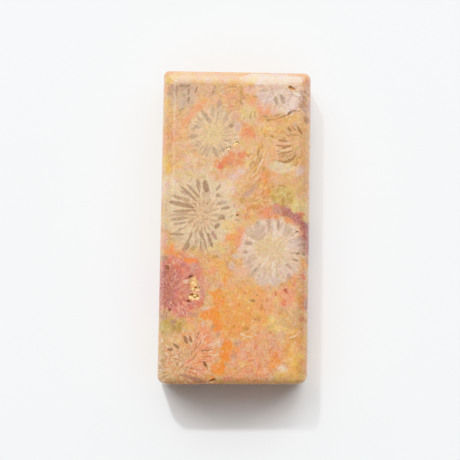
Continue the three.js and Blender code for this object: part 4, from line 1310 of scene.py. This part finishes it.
# %% Clouds in the clear agate
colour = lay_marks(colour, fine, "blush", 1.0, [(2.0, -10.3, 1.9, 1.4, 0, 0.7)])
colour = lay_marks(colour, fine, "shell", 1.0, [(4.2, -0.4, 1.4, 1.1, 0, 0.4)])
colour = lay_marks(colour, fine, "lime", 1.2, [
    (6.3, -4.2, 2.2, 1.6, 20, 0.4), (9.8, -2.6, 1.6, 1.4, 0, 0.2),
])
colour = lay_marks(colour, fine, "grey", 1.0, [
    (5.0, -1.4, 1.9, 1.2, 30, 0.25), (3.4, -7.4, 1.4, 1.0, 40, 0.4), (12.0, -7.0, 1.4, 0.6, 0, 0.3),
    (11.4, -0.4, 1.4, 0.9, 60, 0.35), (4.4, -10.2, 1.3, 0.6, 48, 0.4),
])

# %% White streaks
colour = lay_marks(colour, fine, "white", 0.8, [
    (-3.3, -26.0, 0.5, 0.25, 10, 0.45), (-4.2, -26.4, 0.4, 0.2, 0, 0.4),
    (-3.0, -26.8, 0.35, 0.18, 0, 0.35), (8.9, -1.2, 2.4, 0.5, 86, 0.3), (10.4, -1.2, 1.4, 0.35, 70, 0.35),
    (6.9, -7.8, 1.6, 0.3, 60, 0.3), (5.4, -7.4, 1.3, 0.2, 40, 0.3), (12.4, -4.6, 1.6, 0.4, 20, 0.35),
    (8.8, -9.6, 1.8, 0.4, -85, 0.3), (13.4, 30.0, 0.8, 0.25, -25, 0.4),
    (14.2, 30.0, 0.6, 0.15, -35, 0.35), (12.6, 28.2, 1.2, 0.7, 80, 0.3), (11.8, 26.6, 0.7, 0.4, 30, 0.3),
])

# %% Lavender and mauve clouds
colour = lay_marks(colour, fine, "lavender", 0.9, [
    (0.3, 22.4, 1.0, 0.6, 80, 0.7), (1.3, 12.3, 0.8, 0.7, 0, 0.75), (14.4, 12.7, 1.0, 0.7, 90, 0.6),
    (11.6, 13.0, 0.6, 0.5, 0, 0.4), (-0.4, 11.0, 1.3, 0.6, 10, 0.6), (-6.5, 33.0, 0.9, 0.7, 0, 0.35),
    (-0.5, -9.0, 1.0, 0.7, 90, 0.6), (-6.8, -22.0, 0.6, 0.4, 90, 0.6), (4.3, -22.7, 0.5, 0.5, 0, 0.4),
    (13.2, -3.8, 1.6, 0.9, 25, 0.7), (13.0, -9.6, 1.2, 1.0, -50, 0.5), (6.2, -12.2, 1.3, 1.1, 0, 0.75),
    (9.2, -12.2, 1.3, 1.0, 0, 0.7), (11.2, -9.7, 1.2, 0.9, -30, 0.6), (6.4, 29.2, 1.4, 1.1, 0, 0.5),
    (-2.4, 5.4, 0.9, 0.6, 0, 0.4), (12.9, 23.2, 0.6, 0.4, 0, 0.4), (0.2, -6.8, 0.9, 0.6, 0, 0.6),
    (-6.4, -18.6, 0.8, 0.4, 0, 0.5),
])
colour = lay_marks(colour, fine, "mauve", 0.9, [
    (-9.1, -9.2, 0.9, 0.6, 80, 0.7), (7.5, 1.0, 1.0, 0.3, 85, 0.7), (12.2, -8.8, 0.8, 0.3, -35, 0.8),
    (6.8, -10.3, 0.8, 0.35, 80, 0.4), (0.3, 22.2, 0.9, 0.5, 80, 0.5), (9.2, 3.9, 1.0, 0.7, -20, 0.5),
    (-4.7, -2.2, 0.8, 0.5, -60, 0.6), (2.2, 7.0, 0.8, 0.5, 40, 0.4), (-7.4, -32.3, 1.3, 0.16, -5, 0.7),
    (12.3, -11.0, 0.8, 0.45, -50, 0.5),
])

# %% Gold in the pockets, a painted glint on the crystals and painted light on a pit wall
colour = lay_marks(colour, tube, "gold", 0.8, [
    (-8.7, -15.9, 1.2, 0.9, 0, 0.6), (-8.9, -13.3, 0.8, 1.5, 0, 0.5),
])
# Painted glint: crystal gold lighter than the stone could look, over the crystals and the shade of their
# pockets
colour = lay_marks(colour, tube, "crystal", 0.5, [
    (-9.5, -16.1, 0.5, 0.35, -12, 0.9), (-8.7, -15.6, 0.4, 0.4, 30, 0.85),
    (-8.1, -16.3, 0.4, 0.35, 0, 1.0), (-8.9, -16.5, 0.35, 0.2, 20, 0.7),
    (-8.2, -14.4, 0.45, 0.25, 18, 0.8), (-9.0, -14.3, 0.3, 0.3, 0, 0.7), (-8.0, -13.8, 0.25, 0.2, 0, 0.6),
    (-9.1, -12.9, 0.3, 0.3, 0, 0.6), (-8.6, -13.3, 0.25, 0.2, 0, 0.6), (-1.8, 17.5, 0.6, 0.25, 36, 0.8),
    (-0.2, 18.55, 0.6, 0.3, 35, 1.0), (-8.9, -12.1, 0.25, 0.2, 0, 0.5),
])
# Painted light on the wall of the slanted pit, taking out its shade
colour = lay_marks(colour, tube, "pit wall", 0.5, [(12.1, 31.3, 0.8, 0.4, -30, 0.8)])

# %% A fine swing over all
FINE_SCALE = 1.3
FINE_SWING = (0.03, 0.025, 0.035)

colour = tinted(colour, grain, FINE_SCALE, FINE_SWING)
print(len(bpy.data.node_groups), "layers and groups")

# %% [markdown]
# Polished agate is as smooth as glass, and all its grain lies under the surface. So nothing here is
# raised: a fine speckle lightens and darkens the colour, grain by grain, and the gloss is one number for
# the whole stone. The roughness is that of a good hand polish, and the refraction is that of quartz.

# %% Surface
SPECKLE = (0.885, 1.115)
SPECKLE_BAND = (0.3, 0.7)
SPECKLE_SCALE = 2.4
POLISH_ROUGHNESS = 0.18
QUARTZ_IOR = 1.54

grains = bench.noise(tube, SPECKLE_SCALE, roughness=0.7)
speckle = bench.ease(grains, *SPECKLE_BAND, *SPECKLE)
colour = bench.scaled(colour, speckle)
surface = stone.node_tree.nodes["Principled BSDF"]
bench.plug(surface.inputs["Base Color"], colour)
surface.inputs["Roughness"].default_value = POLISH_ROUGHNESS
surface.inputs["IOR"].default_value = QUARTZ_IOR
block.data.materials.append(stone)

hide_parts("coral_slice")
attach(block, "root")
print(len(stone.node_tree.nodes), "nodes in the stone")
